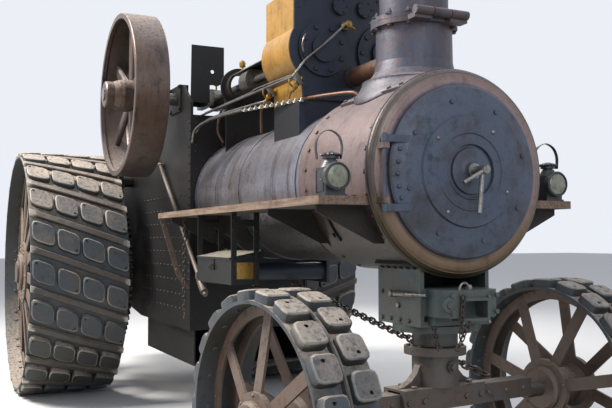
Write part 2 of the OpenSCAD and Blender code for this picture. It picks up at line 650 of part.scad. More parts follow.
/* Frame */
horn_x = throat_x + 12;        // front edge of the hornplates
stretcher_top = 2254;
module horn_outline() polygon([[horn_x, 700], [horn_x, crank_z - 70], [crank_x + 150, crank_z + 90],
    [crank_x - 150, crank_z + 90], [second_x, second_z + 110], [third_x - 120, third_z + 120],
    [-280, third_z], [-280, 860], [-160, 860], [160, 760], [backhead_x, 700]]);
module hornplates() color("darkslategray") from_axle() {
    both_sides() translate([0, horn_y, 0]) rotate([90, 0, 0]) difference() {
        linear_extrude(horn_t) horn_outline();
        for (p = [[crank_x, crank_z, 95 + gap], [second_x, second_z, shaft_r + gap],
                [third_x, third_z, shaft_r + gap], [0, rear_r, rear_axle_r + gap]])
            translate([p[0], p[1], -1]) cylinder(r = p[2], h = horn_t + 2);
    }
    // the stretcher over the barrel
    across(throat_x + gap) linear_extrude(horn_x - throat_x - gap) difference() {
        translate([gap - firebox_hw, boiler_z]) square([2 * (firebox_hw - gap), stretcher_top - boiler_z]);
        translate([0, boiler_z]) circle(r = barrel_r + gap);
    }
    // the splash plate beside the right crank
    across(throat_x - 56) linear_extrude(6) difference() {
        polygon([[-firebox_hw - 1, 2360], [-300, 2360], [-300, 2490], [-190, 2500], [-190, 2780],
            [-firebox_hw + 5, 2780]]);
        translate([-280, 2591]) circle(r = 14);
    }
}
module tender_plan(inset) {
    r = tender_corner;
    for (s = [-1, 1]) translate([r - tender_x, s * (tender_hw - r)]) circle(r = r - inset);
    translate([r - tender_x, inset - tender_hw])
        square([tender_x - r - tender_front, 2 * (tender_hw - inset)]);
    translate([inset - tender_x, r - tender_hw]) square([r, 2 * (tender_hw - r)]);
}
module tender() color("darkolivegreen") from_axle() {
    difference() {
        translate([0, 0, tender_low]) linear_extrude(tender_z - tender_low) tender_plan(0);
        translate([0, 0, coal_z]) linear_extrude(tender_z) tender_plan(plate_t);
        translate([-tender_front - 40, plate_t - tender_hw, coal_z])
            cube([80, 2 * (tender_hw - plate_t), tender_z]);
    }
    translate([0, 0, tender_z - 26]) linear_extrude(26) difference() {
        tender_plan(-10);
        tender_plan(1);
        translate([-tender_front, -tender_hw]) square([80, 2 * tender_hw]);
    }
    difference() {
        translate([-tender_front - plate_t, 1 - tender_hw, coal_z - 1])
            cube([plate_t, 2 * tender_hw - 2, tender_z - coal_z - 140]);
        translate([-tender_front - 40, -190, coal_z]) cube([80, 380, 260]);
    }
}
module footplate() color("gray") from_axle()
    translate([-tender_front, -firebox_hw, tender_low + 40])
        cube([backhead_x + tender_front, 2 * firebox_hw, 12]);
module drawbar() color("dimgray") from_axle() difference() {
    translate([-rear_reach, -90, tender_low + 30]) cube([drawbar_end, 180, 50]);
    translate([-rear_reach + 60, 0, 700]) cylinder(r = drawpin_r, h = 200);
}
barrel_x = throat_x + 420;
barrel_z = 1130;
column_y = -horn_y - 24;
column_joint = [1291, column_y, 1944];
column_foot = [barrel_x + 13, column_y, barrel_z - 150];
column_top = [50, column_y, third_z + 340];
wheel_tilt = atan2(column_top[0] - column_joint[0], column_top[2] - column_joint[2]);
foot_tilt = 180 + atan2(column_joint[0] - column_foot[0], column_joint[2] - column_foot[2]);
foot_l = norm(column_foot - column_joint);
module steering_column() color("dimgray") from_axle() {
    bar(column_joint, column_top, 14);
    bar(column_joint, column_foot, 16);
    translate(column_joint) {
        sphere(r = 23, $fn = 24);
        about_y(0, 0, 0) cylinder(r = 20, h = -column_y - horn_y - gap);
    }
    // worm, and the arm that holds the rod's foot to the barrel's bracket
    translate(column_joint) rotate([0, foot_tilt, 0])
        translate([0, 0, foot_l - 150]) cylinder(r = 27, h = 120);
    translate([barrel_x - 150, column_y - 20, barrel_z - 46])
        cube([44, -column_y + 20 - barrel_hw - gap, 44]);
    translate(column_top) rotate([0, wheel_tilt, 0]) {
        rotate_extrude() translate([136, 0]) circle(r = 13);
        cylinder(r = 34, h = 30, center = true);
        for (i = [0 : 5]) rotate([0, 90, i * 60]) translate([0, 0, 26]) cylinder(r = 8, h = 108);
    }
}
barrel_hw = firebox_hw - 40;
module chain_barrel() color("midnightblue") from_axle() {
    about_y(barrel_x, 0, barrel_z) {
        cylinder(r = 60, h = 2 * barrel_hw, center = true);
        translate([0, 0, column_y - 20]) cylinder(r = 72, h = 40);
        translate([0, 0, column_y - 30]) cylinder(r = 24, h = -column_y + 30);
    }
    both_sides() translate([throat_x, barrel_hw - 20, barrel_z - 80])
        cube([barrel_x + 80 - throat_x, 20, 160]);
}
// Links laid along the line, each a flat plate turned against the next
module steering_chains() color("dimgray") from_axle() both_sides() {
    p = [barrel_x, 140, barrel_z - 60 - 16.8];
    d = [wheelbase - 10, 330, beam_top + 26] - p;
    pitch = 46;
    translate(p) rotate([0, acos(d[2] / norm(d)), atan2(d[1], d[0])])
        for (i = [0 : floor(norm(d) / pitch) - 1])
            translate([0, 0, (i + 0.5) * pitch]) rotate([0, 0, 90 * (i % 2)])
            cube([30, 9, pitch + 18], center = true);
}
board_end = ring_x - 60;
module running_boards() color("tan") from_axle() both_sides() {
    translate([horn_x + 1, barrel_r + 18, board_z - board_t])
        cube([board_end - horn_x - 1, board_y - barrel_r - 18, board_t]);
    // brackets: place along the engine, and radius of what they stand on; none is over the toolbox's lid
    for (b = [[throat_x + 250, barrel_r + 5 + gap], [box_x - 25, barrel_r + 5 + gap],
            [chimney_x - 300, smoke_r + gap], [chimney_x + 240, smoke_r + gap]])
        across(b[0]) linear_extrude(10) difference() {
            polygon([[300, board_z - board_t + 1], [board_y - 30, board_z - board_t + 1],
                [board_y - 30, board_z - board_t - 30], [380, board_z - board_t - 170],
                [300, board_z - board_t - 170]]);
            translate([0, boiler_z]) circle(r = b[1]);
        }
}
lamp_y = 611;
lamp_r = 61;
module lamps() color("gold") from_axle() both_sides()
    translate([board_end - 62, lamp_y, board_z]) {
        translate([-52, -54, 0]) cube([104, 108, 8]);
        translate([-46, -48, 8]) cube([92, 96, 116]);
        about_x(40, 0, lamp_r + 22) cylinder(r = lamp_r, h = 26);
        translate([0, 0, 123]) {
            cylinder(r1 = 50, r2 = 30, h = 34);
            cylinder(r = 24, h = 48);
            translate([0, 0, 40]) cylinder(r = 36, h = 12);
        }
    }
box_x = 2870;
box_l = 580;
box_w = 165;
box_h = 170;                   // height inside, at the hinge; the lid slopes down outwards
box_out_h = 138;
box_y = -board_y + 16;
box_z = 1101;
box_t = 12;
box_in_y = box_y + box_w;
lid_slope = (box_h - box_out_h) / box_w;
lid_pin_y = box_in_y + 18;
lid_pin_z = box_z + box_h + 7;
module toolbox() color("darkslategray") from_axle() {
    difference() {
        across(box_x) linear_extrude(box_l)
            polygon([[box_y, box_z], [box_in_y, box_z],
                [box_in_y, box_z + box_h], [box_y, box_z + box_out_h]]);
        translate([box_x + box_t, box_y + box_t, box_z + box_t])
            cube([box_l - 2 * box_t, box_w - 2 * box_t, box_h]);
    }
    // hangers on both ends, joined under the board
    for (x = [box_x - 6, box_x + box_l - 1]) {
        for (y = [box_y, box_in_y - 32]) translate([x, y, box_z]) cube([7, 32, board_z - board_t - box_z]);
        translate([x, box_y, board_z - board_t - 76]) cube([7, box_w, 36]);
    }
    for (x = [0, box_l - 40]) difference() {
        union() {
            about_x(box_x + x, lid_pin_y, lid_pin_z) cylinder(r = 14, h = 40);
            translate([box_x + x, box_in_y - 4, box_z + box_h - 40]) cube([40, 30, 34]);
        }
        about_x(box_x + x - 1, lid_pin_y, lid_pin_z) cylinder(r = 8 + run, h = 42);
        translate([box_x + x - 1, box_y, box_z + box_h]) cube([42, box_w, 40]);
    }
}
module toolbox_lid() color("darkslategray") from_axle() {
    across(box_x + 2) linear_extrude(box_l - 4)
        polygon([[box_y - 8, box_z + box_out_h + 1 - 8 * lid_slope], [box_in_y - 1, box_z + box_h + 1],
            [box_in_y - 1, box_z + box_h + 13], [box_y - 8, box_z + box_out_h + 13 - 8 * lid_slope]]);
    translate([box_x + 45, box_in_y - 3, box_z + box_h + 1]) cube([box_l - 90, 21, 12]);
    about_x(box_x, lid_pin_y, lid_pin_z) cylinder(r = 8, h = box_l);
}
perch_low = 952;               // underside of the perch bracket's floor
nose_x = 4705;                 // front of its nose
nose_r = 80;
module nose_plan() {
    translate([wheelbase - 93, -171]) square([260, 342]);
    translate([wheelbase - 93, -158]) square([nose_x - nose_r - wheelbase + 93, 316]);
    translate([wheelbase - 93, nose_r - 158]) square([nose_x - wheelbase + 93, 316 - 2 * nose_r]);
    for (s = [-1, 1]) translate([nose_x - nose_r, s * (158 - nose_r)]) circle(r = nose_r);
}
module perch_bracket() color("darkseagreen") from_axle() difference() {
    union() {
        for (y = [-190, 170]) translate([wheelbase - 203, y, perch_low]) cube([370, 20, 400]);
        translate([wheelbase - 203, -190, perch_low]) cube([370, 380, 24]);
        translate([wheelbase - 203, -190, perch_low]) cube([20, 380, 400]);
        translate([wheelbase - 160, -150, perch_low + 10]) cube([380, 300, 60]);
        translate([0, 0, perch_low + 50]) linear_extrude(122) nose_plan();
        translate([nose_x - 60, -80, perch_low + 34]) cube([68, 160, 104]);
        translate([wheelbase, 0, perch_low - 32]) cylinder(r = 200, h = 33);
        translate([wheelbase, 0, neck_z]) cylinder(r = 108, h = perch_low - neck_z);
        translate([wheelbase, 0, 540]) cylinder(r = king_r, h = perch_low - 540);
    }
    translate([nose_x - 80, -64, perch_low + 48]) cube([100, 128, 76]);
    about_x(wheelbase - 300, 0, boiler_z) cylinder(r = smoke_r + gap, h = 700);
    about_x(ring_x - 50 - gap, 0, boiler_z) cylinder(r = ring_r + 3 + gap, h = 200);
}

/* Front axle, turned about the steering pivot */
king_r = 35;                   // radius of the steering pin
neck_z = 850;                  // underside of the perch's neck
beam_top = 645;                // top of the axle beam
module on_front() from_axle() translate([wheelbase, 0, 0]) rotate([0, 0, steer_rest]) children();
module front_axle() color("dimgray") on_front() {
    flange_top = neck_z - 5;
    base_top = beam_top + 18;
    beam_hl = 600;                     // half the length of the beam between the journals
    base_hl = 250;                     // half the length of the pedestal's foot
    beam_h = 90;
    difference() {
        union() {
            translate([-50, -beam_hl, beam_top - beam_h]) cube([100, 2 * beam_hl, beam_h]);
            translate([-76, -base_hl, beam_top - beam_h + 5])
                cube([152, 2 * base_hl, base_top - beam_top + beam_h - 5]);
            translate([0, 0, base_top - 1]) cylinder(r = 110, h = flange_top - base_top + 1);
            translate([0, 0, flange_top - 36]) cylinder(r = 147, h = 36);
            translate([-20, 0, 0]) across(0) linear_extrude(40) polygon(concat([[-base_hl, base_top - 1]],
                [for (a = [0 : 18 : 90]) [-100 - 150 * (1 - sin(a)), base_top + 150 * (1 - cos(a))]],
                [for (a = [90 : -18 : 0]) [100 + 150 * (1 - sin(a)), base_top + 150 * (1 - cos(a))]],
                [[base_hl, base_top - 1]]));
            about_x(-122, 0, base_top + 94) cylinder(r = 26, h = 244);
        }
        translate([0, 0, 400]) cylinder(r = king_r + run, h = 600);
        for (s = [-1, 1]) translate([-46, s * 235 - 20, beam_top - 9]) cube([92, 40, 16]);
    }
    for (s = [-1, 1]) rotate([-90 * s, 0, 0]) translate([0, -s * front_r, 0]) {
        translate([0, 0, beam_hl - 1]) cylinder(r = front_axle_r, h = front_track + front_hw - beam_hl + 30);
        translate([0, 0, front_track + front_hw + 13]) cylinder(r = front_axle_r + 22, h = 15);
    }
}
module on_front_right() on_front() about_y(0, -front_track, front_r) mirror([0, 0, 1]) children();
module on_front_left() on_front() about_y(0, front_track, front_r) children();
module front_rim_right() color("dimgray") on_front_right() front_rim();
module front_rim_left() color("dimgray") on_front_left() front_rim();
module front_centre() wheel_centre(front_rim_r - rim_t, 44, 52, front_hub_r, front_hw + 10, front_flange_r,
    front_spokes, 62, 12, front_axle_r + run);
module front_spokes_right() color("saddlebrown") on_front_right() front_centre();
module front_spokes_left() color("saddlebrown") on_front_left() front_centre();

// The exhaust pipe from between the cylinders to the chimney
module pipework() color("peru") from_axle() difference() {
    about_x(cylinder_x + plate_front, 0, crank_z - 145) {
        cylinder(r = 54, h = chimney_x - cylinder_x - plate_front);
        cylinder(r = 60, h = 16);
        translate([0, 0, chimney_x - chimney_r - 66 - cylinder_x]) cylinder(r = 84, h = 60);
    }
    chimney_foot(gap);
}

boiler_barrel();
firebox();
fire_door();
ash_pan();
smokebox();
smokebox_door();
door_darts();
chimney_base();
chimney_stack();
cylinder_block();
cylinder_covers();
safety_valves();
motion_guides();
motion_rods();
crankshaft();
crank_bearings();
flywheel();
motion_plate();
valve_gear();
hornplates();
rear_axle();
rear_rim_right();
rear_rim_left();
rear_spokes_right();
rear_spokes_left();
bull_gear_right();
bull_gear_left();
third_shaft();
pinion_right();
pinion_left();
second_shaft();
tender();
footplate();
drawbar();
steering_column();
chain_barrel();
steering_chains();
running_boards();
lamps();
toolbox();
toolbox_lid();
perch_bracket();
front_axle();
front_rim_right();
front_rim_left();
front_spokes_right();
front_spokes_left();
pipework();
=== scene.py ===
# %% [markdown]
# # A steam traction engine
#
# The engine is already there as a frame of solids: boiler, smokebox, motion, wheels. This lesson dresses
# it. It gives each solid a worn finish, and adds what a solid of few faces leaves out: tread blocks with
# bevelled corners, rivets, chains, drain cocks, lamps. The frame stays where it is, and each new
# piece says which moving body it rides on.

# %% Load the frame
import json
import math

import bpy
import numpy as np
from mathutils import Matrix, Vector


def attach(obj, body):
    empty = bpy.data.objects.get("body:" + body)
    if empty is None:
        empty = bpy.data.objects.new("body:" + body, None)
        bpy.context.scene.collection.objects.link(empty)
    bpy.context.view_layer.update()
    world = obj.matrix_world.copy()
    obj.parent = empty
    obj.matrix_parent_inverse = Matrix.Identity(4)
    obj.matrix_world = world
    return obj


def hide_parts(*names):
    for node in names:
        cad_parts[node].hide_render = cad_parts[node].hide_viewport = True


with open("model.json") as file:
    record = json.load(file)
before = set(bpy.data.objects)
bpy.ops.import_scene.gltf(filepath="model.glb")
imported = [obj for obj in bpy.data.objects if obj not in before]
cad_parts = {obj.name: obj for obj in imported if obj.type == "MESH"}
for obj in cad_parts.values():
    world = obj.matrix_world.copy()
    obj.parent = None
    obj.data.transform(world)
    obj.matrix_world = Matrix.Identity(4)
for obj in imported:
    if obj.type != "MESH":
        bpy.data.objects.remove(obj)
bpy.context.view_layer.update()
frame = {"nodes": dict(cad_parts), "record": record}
NODES = frame["nodes"]
REAR_X = -1.60655      # the rear axle's place along the engine; lengths below start there

# %% [markdown]
# ## Camera, floor and light
#
# The camera stands low in front of the engine, a little to its right, and looks almost level. Its place,
# its two angles and its focal length are set once. A pale floor runs out of sight. The light is that of
# a studio: a wide soft lamp high on the engine's right, weaker ones in front and behind, and an even
# pale world.

# %% Camera
CAM_PLACE = (6.0574, -2.2367, 1.3444)
CAM_YAW, CAM_PITCH, CAM_ROLL = 25.4721, 2.5466, -0.076
FOCAL_PIXELS, PICTURE_WIDTH, SENSOR = 817.49, 612, 36


def aim(obj, place, direction, roll=0.0):
    """Puts obj at place so that its own -Z looks along direction and its Y is as near up as it can be."""
    turn = Vector(direction).to_track_quat("-Z", "Y").to_matrix().to_4x4()
    obj.matrix_world = Matrix.Translation(place) @ turn @ Matrix.Rotation(math.radians(roll), 4, "Z")


yaw, pitch = math.radians(CAM_YAW), math.radians(CAM_PITCH)
look = (-math.cos(yaw) * math.cos(pitch), math.sin(yaw) * math.cos(pitch), math.sin(pitch))
camera = bpy.data.objects.new("camera", bpy.data.cameras.new("camera"))
bpy.context.scene.collection.objects.link(camera)
camera.data.sensor_width = SENSOR
camera.data.lens = FOCAL_PIXELS / PICTURE_WIDTH * SENSOR
camera.data.clip_end = 200
aim(camera, CAM_PLACE, look, CAM_ROLL)
bpy.context.scene.camera = camera
bpy.context.scene.view_settings.view_transform = "Standard"
print("lens", round(camera.data.lens, 2), "mm")

# %% World
LIT, SEEN = 0.52, 0.93      # the world's strength as a light, and as the camera, gloss and glass show it
world = bpy.data.worlds.new("studio")
bpy.context.scene.world = world
world.use_nodes = True
sky = world.node_tree
sky.nodes["Background"].inputs["Color"].default_value = (0.9, 0.93, 1, 1)
path = sky.nodes.new("ShaderNodeLightPath")
seen, glossy = sky.nodes.new("ShaderNodeMath"), sky.nodes.new("ShaderNodeMath")
seen.operation = glossy.operation = "MAXIMUM"
level = sky.nodes.new("ShaderNodeMapRange")
level.inputs["To Min"].default_value = LIT
level.inputs["To Max"].default_value = SEEN
for source, target in ((path.outputs["Is Glossy Ray"], glossy.inputs[0]),
                       (path.outputs["Is Transmission Ray"], glossy.inputs[1]),
                       (path.outputs["Is Camera Ray"], seen.inputs[0]),
                       (glossy.outputs[0], seen.inputs[1]),
                       (seen.outputs[0], level.inputs["Value"]),
                       (level.outputs[0], sky.nodes["Background"].inputs["Strength"])):
    sky.links.new(source, target)
print("world nodes", len(sky.nodes))

# %% Lamps of the studio


def lamp(name, place, target, size, watts, tint):
    """A square soft lamp of that size, in metres, at place, which looks at target."""
    data = bpy.data.lights.new(name, "AREA")
    data.shape, data.size, data.energy, data.color = "SQUARE", size, watts, tint
    obj = bpy.data.objects.new(name, data)
    bpy.context.scene.collection.objects.link(obj)
    aim(obj, place, Vector(target) - Vector(place))


lamp("key", (-1.5, -6.0, 7.5), (0, 0, 1.2), 3.2, 1450, (1, 0.94, 0.86))
lamp("front", (8.5, -1.5, 4.5), (2, 0, 1.2), 4.0, 120, (0.86, 0.93, 1))
lamp("rear", (-6.5, 4.5, 6.0), (0, 0, 1.4), 5.0, 320, (1, 0.97, 0.92))
print("lamps", len(bpy.data.lights))

# %% [markdown]
# ## How a finish is written
#
# A worn surface is a small sum: so much base colour, so much rust where a noise is high, so much dust
# and painted light where a face looks up, so much painted shade where it looks down. Written node by node
# such a sum is hard to read. So a socket is wrapped in a small class that takes part in ordinary
# arithmetic, and one method adds any other node.

# %% The socket wrapper


def arithmetic(operation, swapped=False):
    """A method that makes a math node of a value and another one; swapped puts the other one first."""
    def method(self, other):
        first, second = (other, self) if swapped else (self, other)
        return self.finish.node("ShaderNodeMath", {"operation": operation}, {0: first, 1: second})
    return method


class Value:
    """A node's output that can be added, subtracted, multiplied, divided and raised, from either side."""

    def __init__(self, finish, socket):
        self.finish, self.socket = finish, socket

    __add__, __radd__ = arithmetic("ADD"), arithmetic("ADD", True)
    __sub__, __rsub__ = arithmetic("SUBTRACT"), arithmetic("SUBTRACT", True)
    __mul__, __rmul__ = arithmetic("MULTIPLY"), arithmetic("MULTIPLY", True)
    __truediv__, __rtruediv__ = arithmetic("DIVIDE"), arithmetic("DIVIDE", True)
    __pow__, __rpow__ = arithmetic("POWER"), arithmetic("POWER", True)


# %% A material under construction


class Finish:
    """A material under construction. node() adds any node and returns one of its outputs as a Value."""

    def __init__(self, name, **constants):
        self.material = bpy.data.materials.new(name)
        self.material.use_nodes = True
        self.tree = self.material.node_tree
        self.shader = self.tree.nodes["Principled BSDF"]
        for key, value in constants.items():
            self.shader.inputs[key.replace("_", " ")].default_value = value
        self.place = self.node("ShaderNodeTexCoord", out="Object")
        self.facing = self.node("ShaderNodeTexCoord", out="Normal")

    def put(self, socket, value):
        """Links a Value to the socket, and sets a plain number or colour on it."""
        if isinstance(value, Value):
            self.tree.links.new(value.socket, socket)
        else:
            socket.default_value = value

    def node(self, kind, settings=None, values=None, out=0):
        """Adds a node, with its settings, and with values put on its sockets."""
        made = self.tree.nodes.new(kind)
        for key, value in (settings or {}).items():
            if key == "stops":
                for i, (at, colour) in enumerate(value):
                    stop = made.color_ramp.elements[i] if i < 2 else made.color_ramp.elements.new(at)
                    stop.position, stop.color = at, colour
            else:
                setattr(made, key, value)
        for key, value in (values or {}).items():
            self.put(made.inputs[key], value)
        return Value(self, made.outputs[out])

    def noise(self, scale, detail=4, stretch=(1, 1, 1), rough=0.6):
        """Cloudy noise of about scale patches a metre; stretch squeezes it along an axis."""
        at = self.place
        if stretch != (1, 1, 1):
            at = self.node("ShaderNodeMapping", {}, {"Vector": self.place, "Scale": stretch})
        values = {"Vector": at, "Scale": scale, "Detail": detail, "Roughness": rough}
        return self.node("ShaderNodeTexNoise", {}, values, "Fac")

    def band(self, value, low, high):
        """0 below low, 1 above high, smooth between: a soft threshold."""
        return self.node("ShaderNodeMapRange", {"interpolation_type": "SMOOTHSTEP"},
                         {"Value": value, "From Min": low, "From Max": high})

    def mix(self, share, one, other):
        """share of other over one, both colours."""
        return self.node("ShaderNodeMix", {"data_type": "RGBA"}, {0: share, 6: one, 7: other}, 2)

    def axis(self, vector, letter):
        """One of a vector's three numbers, by its letter."""
        return self.node("ShaderNodeSeparateXYZ", {}, {0: vector}, letter)

    def coat(self, colour, rough, bump, depth, metal=None):
        """Joins colour, roughness and a height field of that depth in metres to the shader."""
        self.put(self.shader.inputs["Base Color"], colour)
        self.put(self.shader.inputs["Roughness"], rough)
        if metal is not None:
            self.put(self.shader.inputs["Metallic"], metal)
        relief = self.node("ShaderNodeBump", {}, {"Height": bump, "Distance": depth, "Strength": 0.6})
        self.put(self.shader.inputs["Normal"], relief)
        return self.material


# %% Worn iron
FINISH = {}
RELIEF = 0.004              # depth of the pits and clouds, in metres
UNDERSIDE_SHADE, BARE_EDGE = "26241a", "b9b2a6"


def tone(code):
    """The linear colour of a six-figure screen colour such as 'a08060'."""
    parts = np.array([int(code[i:i + 2], 16) for i in (0, 2, 4)]) / 255
    return (*np.where(parts > 0.04045, ((parts + 0.055) / 1.055) ** 2.4, parts / 12.92).tolist(), 1)


def iron(name, base, worn, dust_and_top_light, rough, metal, patches, grain, dust_and_top_light_share, dark="14130f", streaks=0.0,
         run_way=(1, 1, 0.13), wear=0.5, under=0.5, tint=None, sides=0.0, rust="5a3a24", specks=0.35,
         edge=0.0):
    """Adds to FINISH iron or painted plate: base colour, cloudy patches of worn colour, specks of rust and
    of grime, streaks that run along run_way's small axes, a pale coat on faces that look up that is partly
    a dusting and partly painted light from above, and painted shade with a painted reflection of the ground
    on faces that look down. tint lays further colour over the base before the grime; sides paints shade on
    faces that look sideways; edge brightens the points that a piece marks as its worn edges."""
    f = Finish(name)
    clouds = f.noise(patches, 5)
    fine = f.noise(grain, 4, rough=0.7)
    colour = f.mix(f.band(clouds, 0.42, 0.66) * wear + f.band(fine, 0.5, 0.7) * 0.4, tone(base), tone(worn))
    if tint:
        colour = tint(f, colour, clouds)
    pits = f.noise(grain * 0.45, 6, rough=0.85)
    colour = f.mix(f.band(pits, 0.54, 0.62) * specks, colour, tone(rust))
    if streaks:
        broad, thin = f.noise(9, 5, run_way), f.noise(38, 4, run_way, 0.75)
        runs = f.band(broad, 0.5, 0.7) * streaks + f.band(thin, 0.48, 0.72) * streaks * 0.8
        colour = f.mix(runs, colour, tone(dark))
    grime = f.noise(patches * 2.7, 6, rough=0.75)
    colour = f.mix(f.band(grime, 0.5, 0.74) * 0.65 + f.band(pits, 0.38, 0.3) * 0.5, colour, tone(dark))
    # Painted shade on faces that look sideways, as much as sides says.
    if sides:
        across = f.axis(f.facing, "Y")
        colour = f.mix(f.band(across * across, 0.4, 0.8) * sides, colour, tone(dark))
    # Painted shade, with a painted reflection of the ground, darkens faces that look down, as much as under
    # says.
    colour = f.mix(f.band(0.45 * clouds - f.axis(f.facing, "Z"), 0.25, 1.0) * under, colour, tone(UNDERSIDE_SHADE))
    # Faces that look up turn pale: partly a dusting, partly painted light from above.
    dust_and_top_light_mask = f.band(f.axis(f.facing, "Z") + clouds * 0.5, 0.45, 1.2) * dust_and_top_light_share
    colour = f.mix(dust_and_top_light_mask * f.band(fine, 0.25, 0.6), colour, tone(dust_and_top_light))
    if edge:
        marked = f.node("ShaderNodeAttribute", {"attribute_name": "edge"}, {}, "Fac")
        colour = f.mix(f.band(marked + (clouds - 0.5) * 2.2, 0.5, 1.1) * edge, colour, tone(BARE_EDGE))
    roughness = rough + (fine - 0.5) * 0.25 + dust_and_top_light_mask * 0.15
    height = fine * 0.5 + clouds * 0.2 + pits * 0.3
    FINISH[name] = f.coat(colour, roughness, height, RELIEF, metal - dust_and_top_light_mask * metal)


# %% [markdown]
# ## Finishes of the engine
#
# Bare sheet on the boiler shines dull silver with brown streaks, the smokebox has gone brown in the heat,
# the door is blue-grey cast iron, the chimney rust brown, the side of the cylinders ochre paint.

# %% Heat colours of the smokebox, and a painted highlight on its top
RING_BACK, RING_R_IN, RING_R_OUT = REAR_X + 4.566, 0.397, 0.482
AXIS_Z = 1.653              # height of the boiler's axis
OXIDES = ((0, "57525e"), (0.25, "8b7b7c"), (0.55, "877069"), (0.85, "776a64"), (1, "4b4543"))


def heat_tint_and_top_light(f, colour, clouds):
    """Lays the oxide colours of hot steel on the front ring: purple at the inner edge, copper, then bronze
    outside and low down. They follow the distance from the boiler's axis. Behind the ring, the shell's top
    gets a painted highlight: it grows paler above the axis."""
    x, y, z = (f.axis(f.place, letter) for letter in "XYZ")
    radius = (y * y + (z - AXIS_Z) ** 2) ** 0.5
    share = f.band(radius + clouds * 0.02, RING_R_IN, RING_R_OUT)
    ramp = f.node("ShaderNodeValToRGB", {"stops": [(k, tone(code)) for k, code in OXIDES]}, {0: share})
    low = f.band(AXIS_Z - z + clouds * 0.25, 0.15, 0.45)
    ring = f.mix(low * 0.6, ramp, tone("6a5428"))
    # Painted highlight: the shell grows paler towards its top.
    colour = f.mix(f.band(z - AXIS_Z + clouds * 0.3, 0.35, 0.6) * 0.35, colour, tone("a89d9f"))
    return f.mix(f.band(x, RING_BACK - 0.004, RING_BACK + 0.004), colour, ring)


# %% Grain of the boards
PLANK_UNDER = 1.4995        # height of the planks' lower face


def planks(f, colour, clouds):
    """Draws grain along the boards, and blackens everything below them, which is iron."""
    z = f.axis(f.place, "Z")
    grain = f.noise(60, 4, (0.05, 1, 1), 0.7)
    colour = f.mix(f.band(grain, 0.42, 0.64) * 0.7, colour, tone("4a3a30"))
    return f.mix(f.band(z, PLANK_UNDER - 0.001, PLANK_UNDER), tone("241f1c"), colour)


# %% One finish for each slot
# In these calls the ninth number, with the fourth colour, makes faces that look up pale, partly a dusting and
# partly painted light; under paints shade and a reflection of the ground on faces that look down; sides
# paints shade on faces that look sideways.
HOOPS = (1, 0.1, 0.1)       # streaks that run round the boiler
iron("boiler_cladding", "8c8d97", "66594f", "a9aab6", 0.3, 0.75, 3, 40, 0.3, dark="3b2e27", streaks=0.6,
     run_way=HOOPS, wear=0.45, under=0.9, rust="5a3826", specks=0.2)
iron("black_iron", "101214", "1c1613", "3a3734", 0.5, 0.3, 5, 60, 0.3, rust="3c2618")
iron("door_iron", "4d5666", "403e43", "7b7f88", 0.4, 0.45, 6, 90, 0.25, dark="1b1e24", wear=0.75,
     rust="50423c", specks=0.4)
iron("smokebox_steel", "7b6d6d", "62473b", "a3979a", 0.4, 0.5, 3.5, 50, 0.35, dark="2f2621", streaks=0.4,
     run_way=HOOPS, under=0.9, tint=heat_tint_and_top_light, rust="6b4430")
iron("bright_steel", "8f8f8c", "5f554b", "b9b9b6", 0.3, 0.85, 9, 80, 0.15)
iron("chimney_rust", "494d5b", "634538", "b3a6a6", 0.48, 0.3, 4, 60, 0.5, streaks=0.35, rust="7a4f3a",
     specks=0.5)
iron("ochre_cladding", "a97f2f", "8d601f", "c2b68c", 0.36, 0.1, 6, 60, 0.3, dark="33240e", streaks=0.5,
     rust="54390f")
iron("cylinder_dark", "2b3342", "33343a", "4d5560", 0.42, 0.35, 6, 60, 0.2, dark="15171a", sides=0.9,
     rust="3a3230")
iron("brass", "a98544", "6f522c", "b89a62", 0.35, 0.8, 14, 90, 0.2, specks=0.5)
iron("gear_iron", "34322f", "4f3d30", "6a655e", 0.42, 0.55, 7, 70, 0.3)
iron("flywheel_iron", "625854", "664a38", "b5a8a2", 0.36, 0.6, 3, 50, 0.7, streaks=0.35, rust="6b4630")
iron("axle_iron", "55524f", "5f4a3c", "9a9086", 0.5, 0.4, 6, 60, 0.6, rust="6a4632")
iron("tread_iron", "424a50", "524b44", "b3a79c", 0.6, 0.2, 5, 45, 0.95, dark="1d1c1a", under=0.75,
     specks=0.3, edge=0.4)
iron("strake_iron", "4b4a49", "5c5046", "a89c90", 0.55, 0.3, 8, 60, 0.8, dark="23201d", rust="70523a",
     specks=0.7, edge=0.8)
iron("wheel_iron", "685c54", "6e5442", "a3978c", 0.6, 0.25, 5, 55, 0.6, dark="1f1b17", under=0.8,
     rust="6a4a34", specks=0.45)
iron("tender_paint", "2b3130", "443b32", "6a6a62", 0.45, 0.15, 4, 60, 0.35)
iron("box_paint", "141a1a", "26221c", "a8a294", 0.4, 0.2, 9, 60, 0.9, rust="3d3a2c", sides=0.75)
iron("chain_iron", "33302d", "5a4634", "6f6a62", 0.45, 0.55, 12, 90, 0.3)
iron("board_wood", "846f5f", "5c493d", "b09f94", 0.8, 0.0, 4, 80, 0.5, under=0.9, tint=planks, rust="4a382c")
iron("carriage_green", "4a5555", "54493c", "7c7f78", 0.45, 0.25, 5, 60, 0.4, rust="5c4a38")
iron("pipe_copper", "5f4336", "4c3b33", "8a6c5c", 0.45, 0.7, 8, 70, 0.2)
iron("exhaust_rust", "3b3836", "7a4a28", "8a8078", 0.5, 0.3, 8, 50, 0.4, streaks=0.3, rust="8a4e22",
     specks=0.6)
iron("lamp_tin", "3c4248", "5a544c", "8c8f90", 0.36, 0.55, 9, 80, 0.4, specks=0.3)
OTHER = {"lamps": "lamp_tin", "pipework": "exhaust_rust", "toolbox": "box_paint", "toolbox_lid": "box_paint"}
for part in frame["record"]["subparts"]:
    obj = NODES[part["node"]]
    obj.data.materials.clear()
    obj.data.materials.append(FINISH[OTHER.get(part["node"], part["material_slot"])])
print("finishes", len(FINISH))

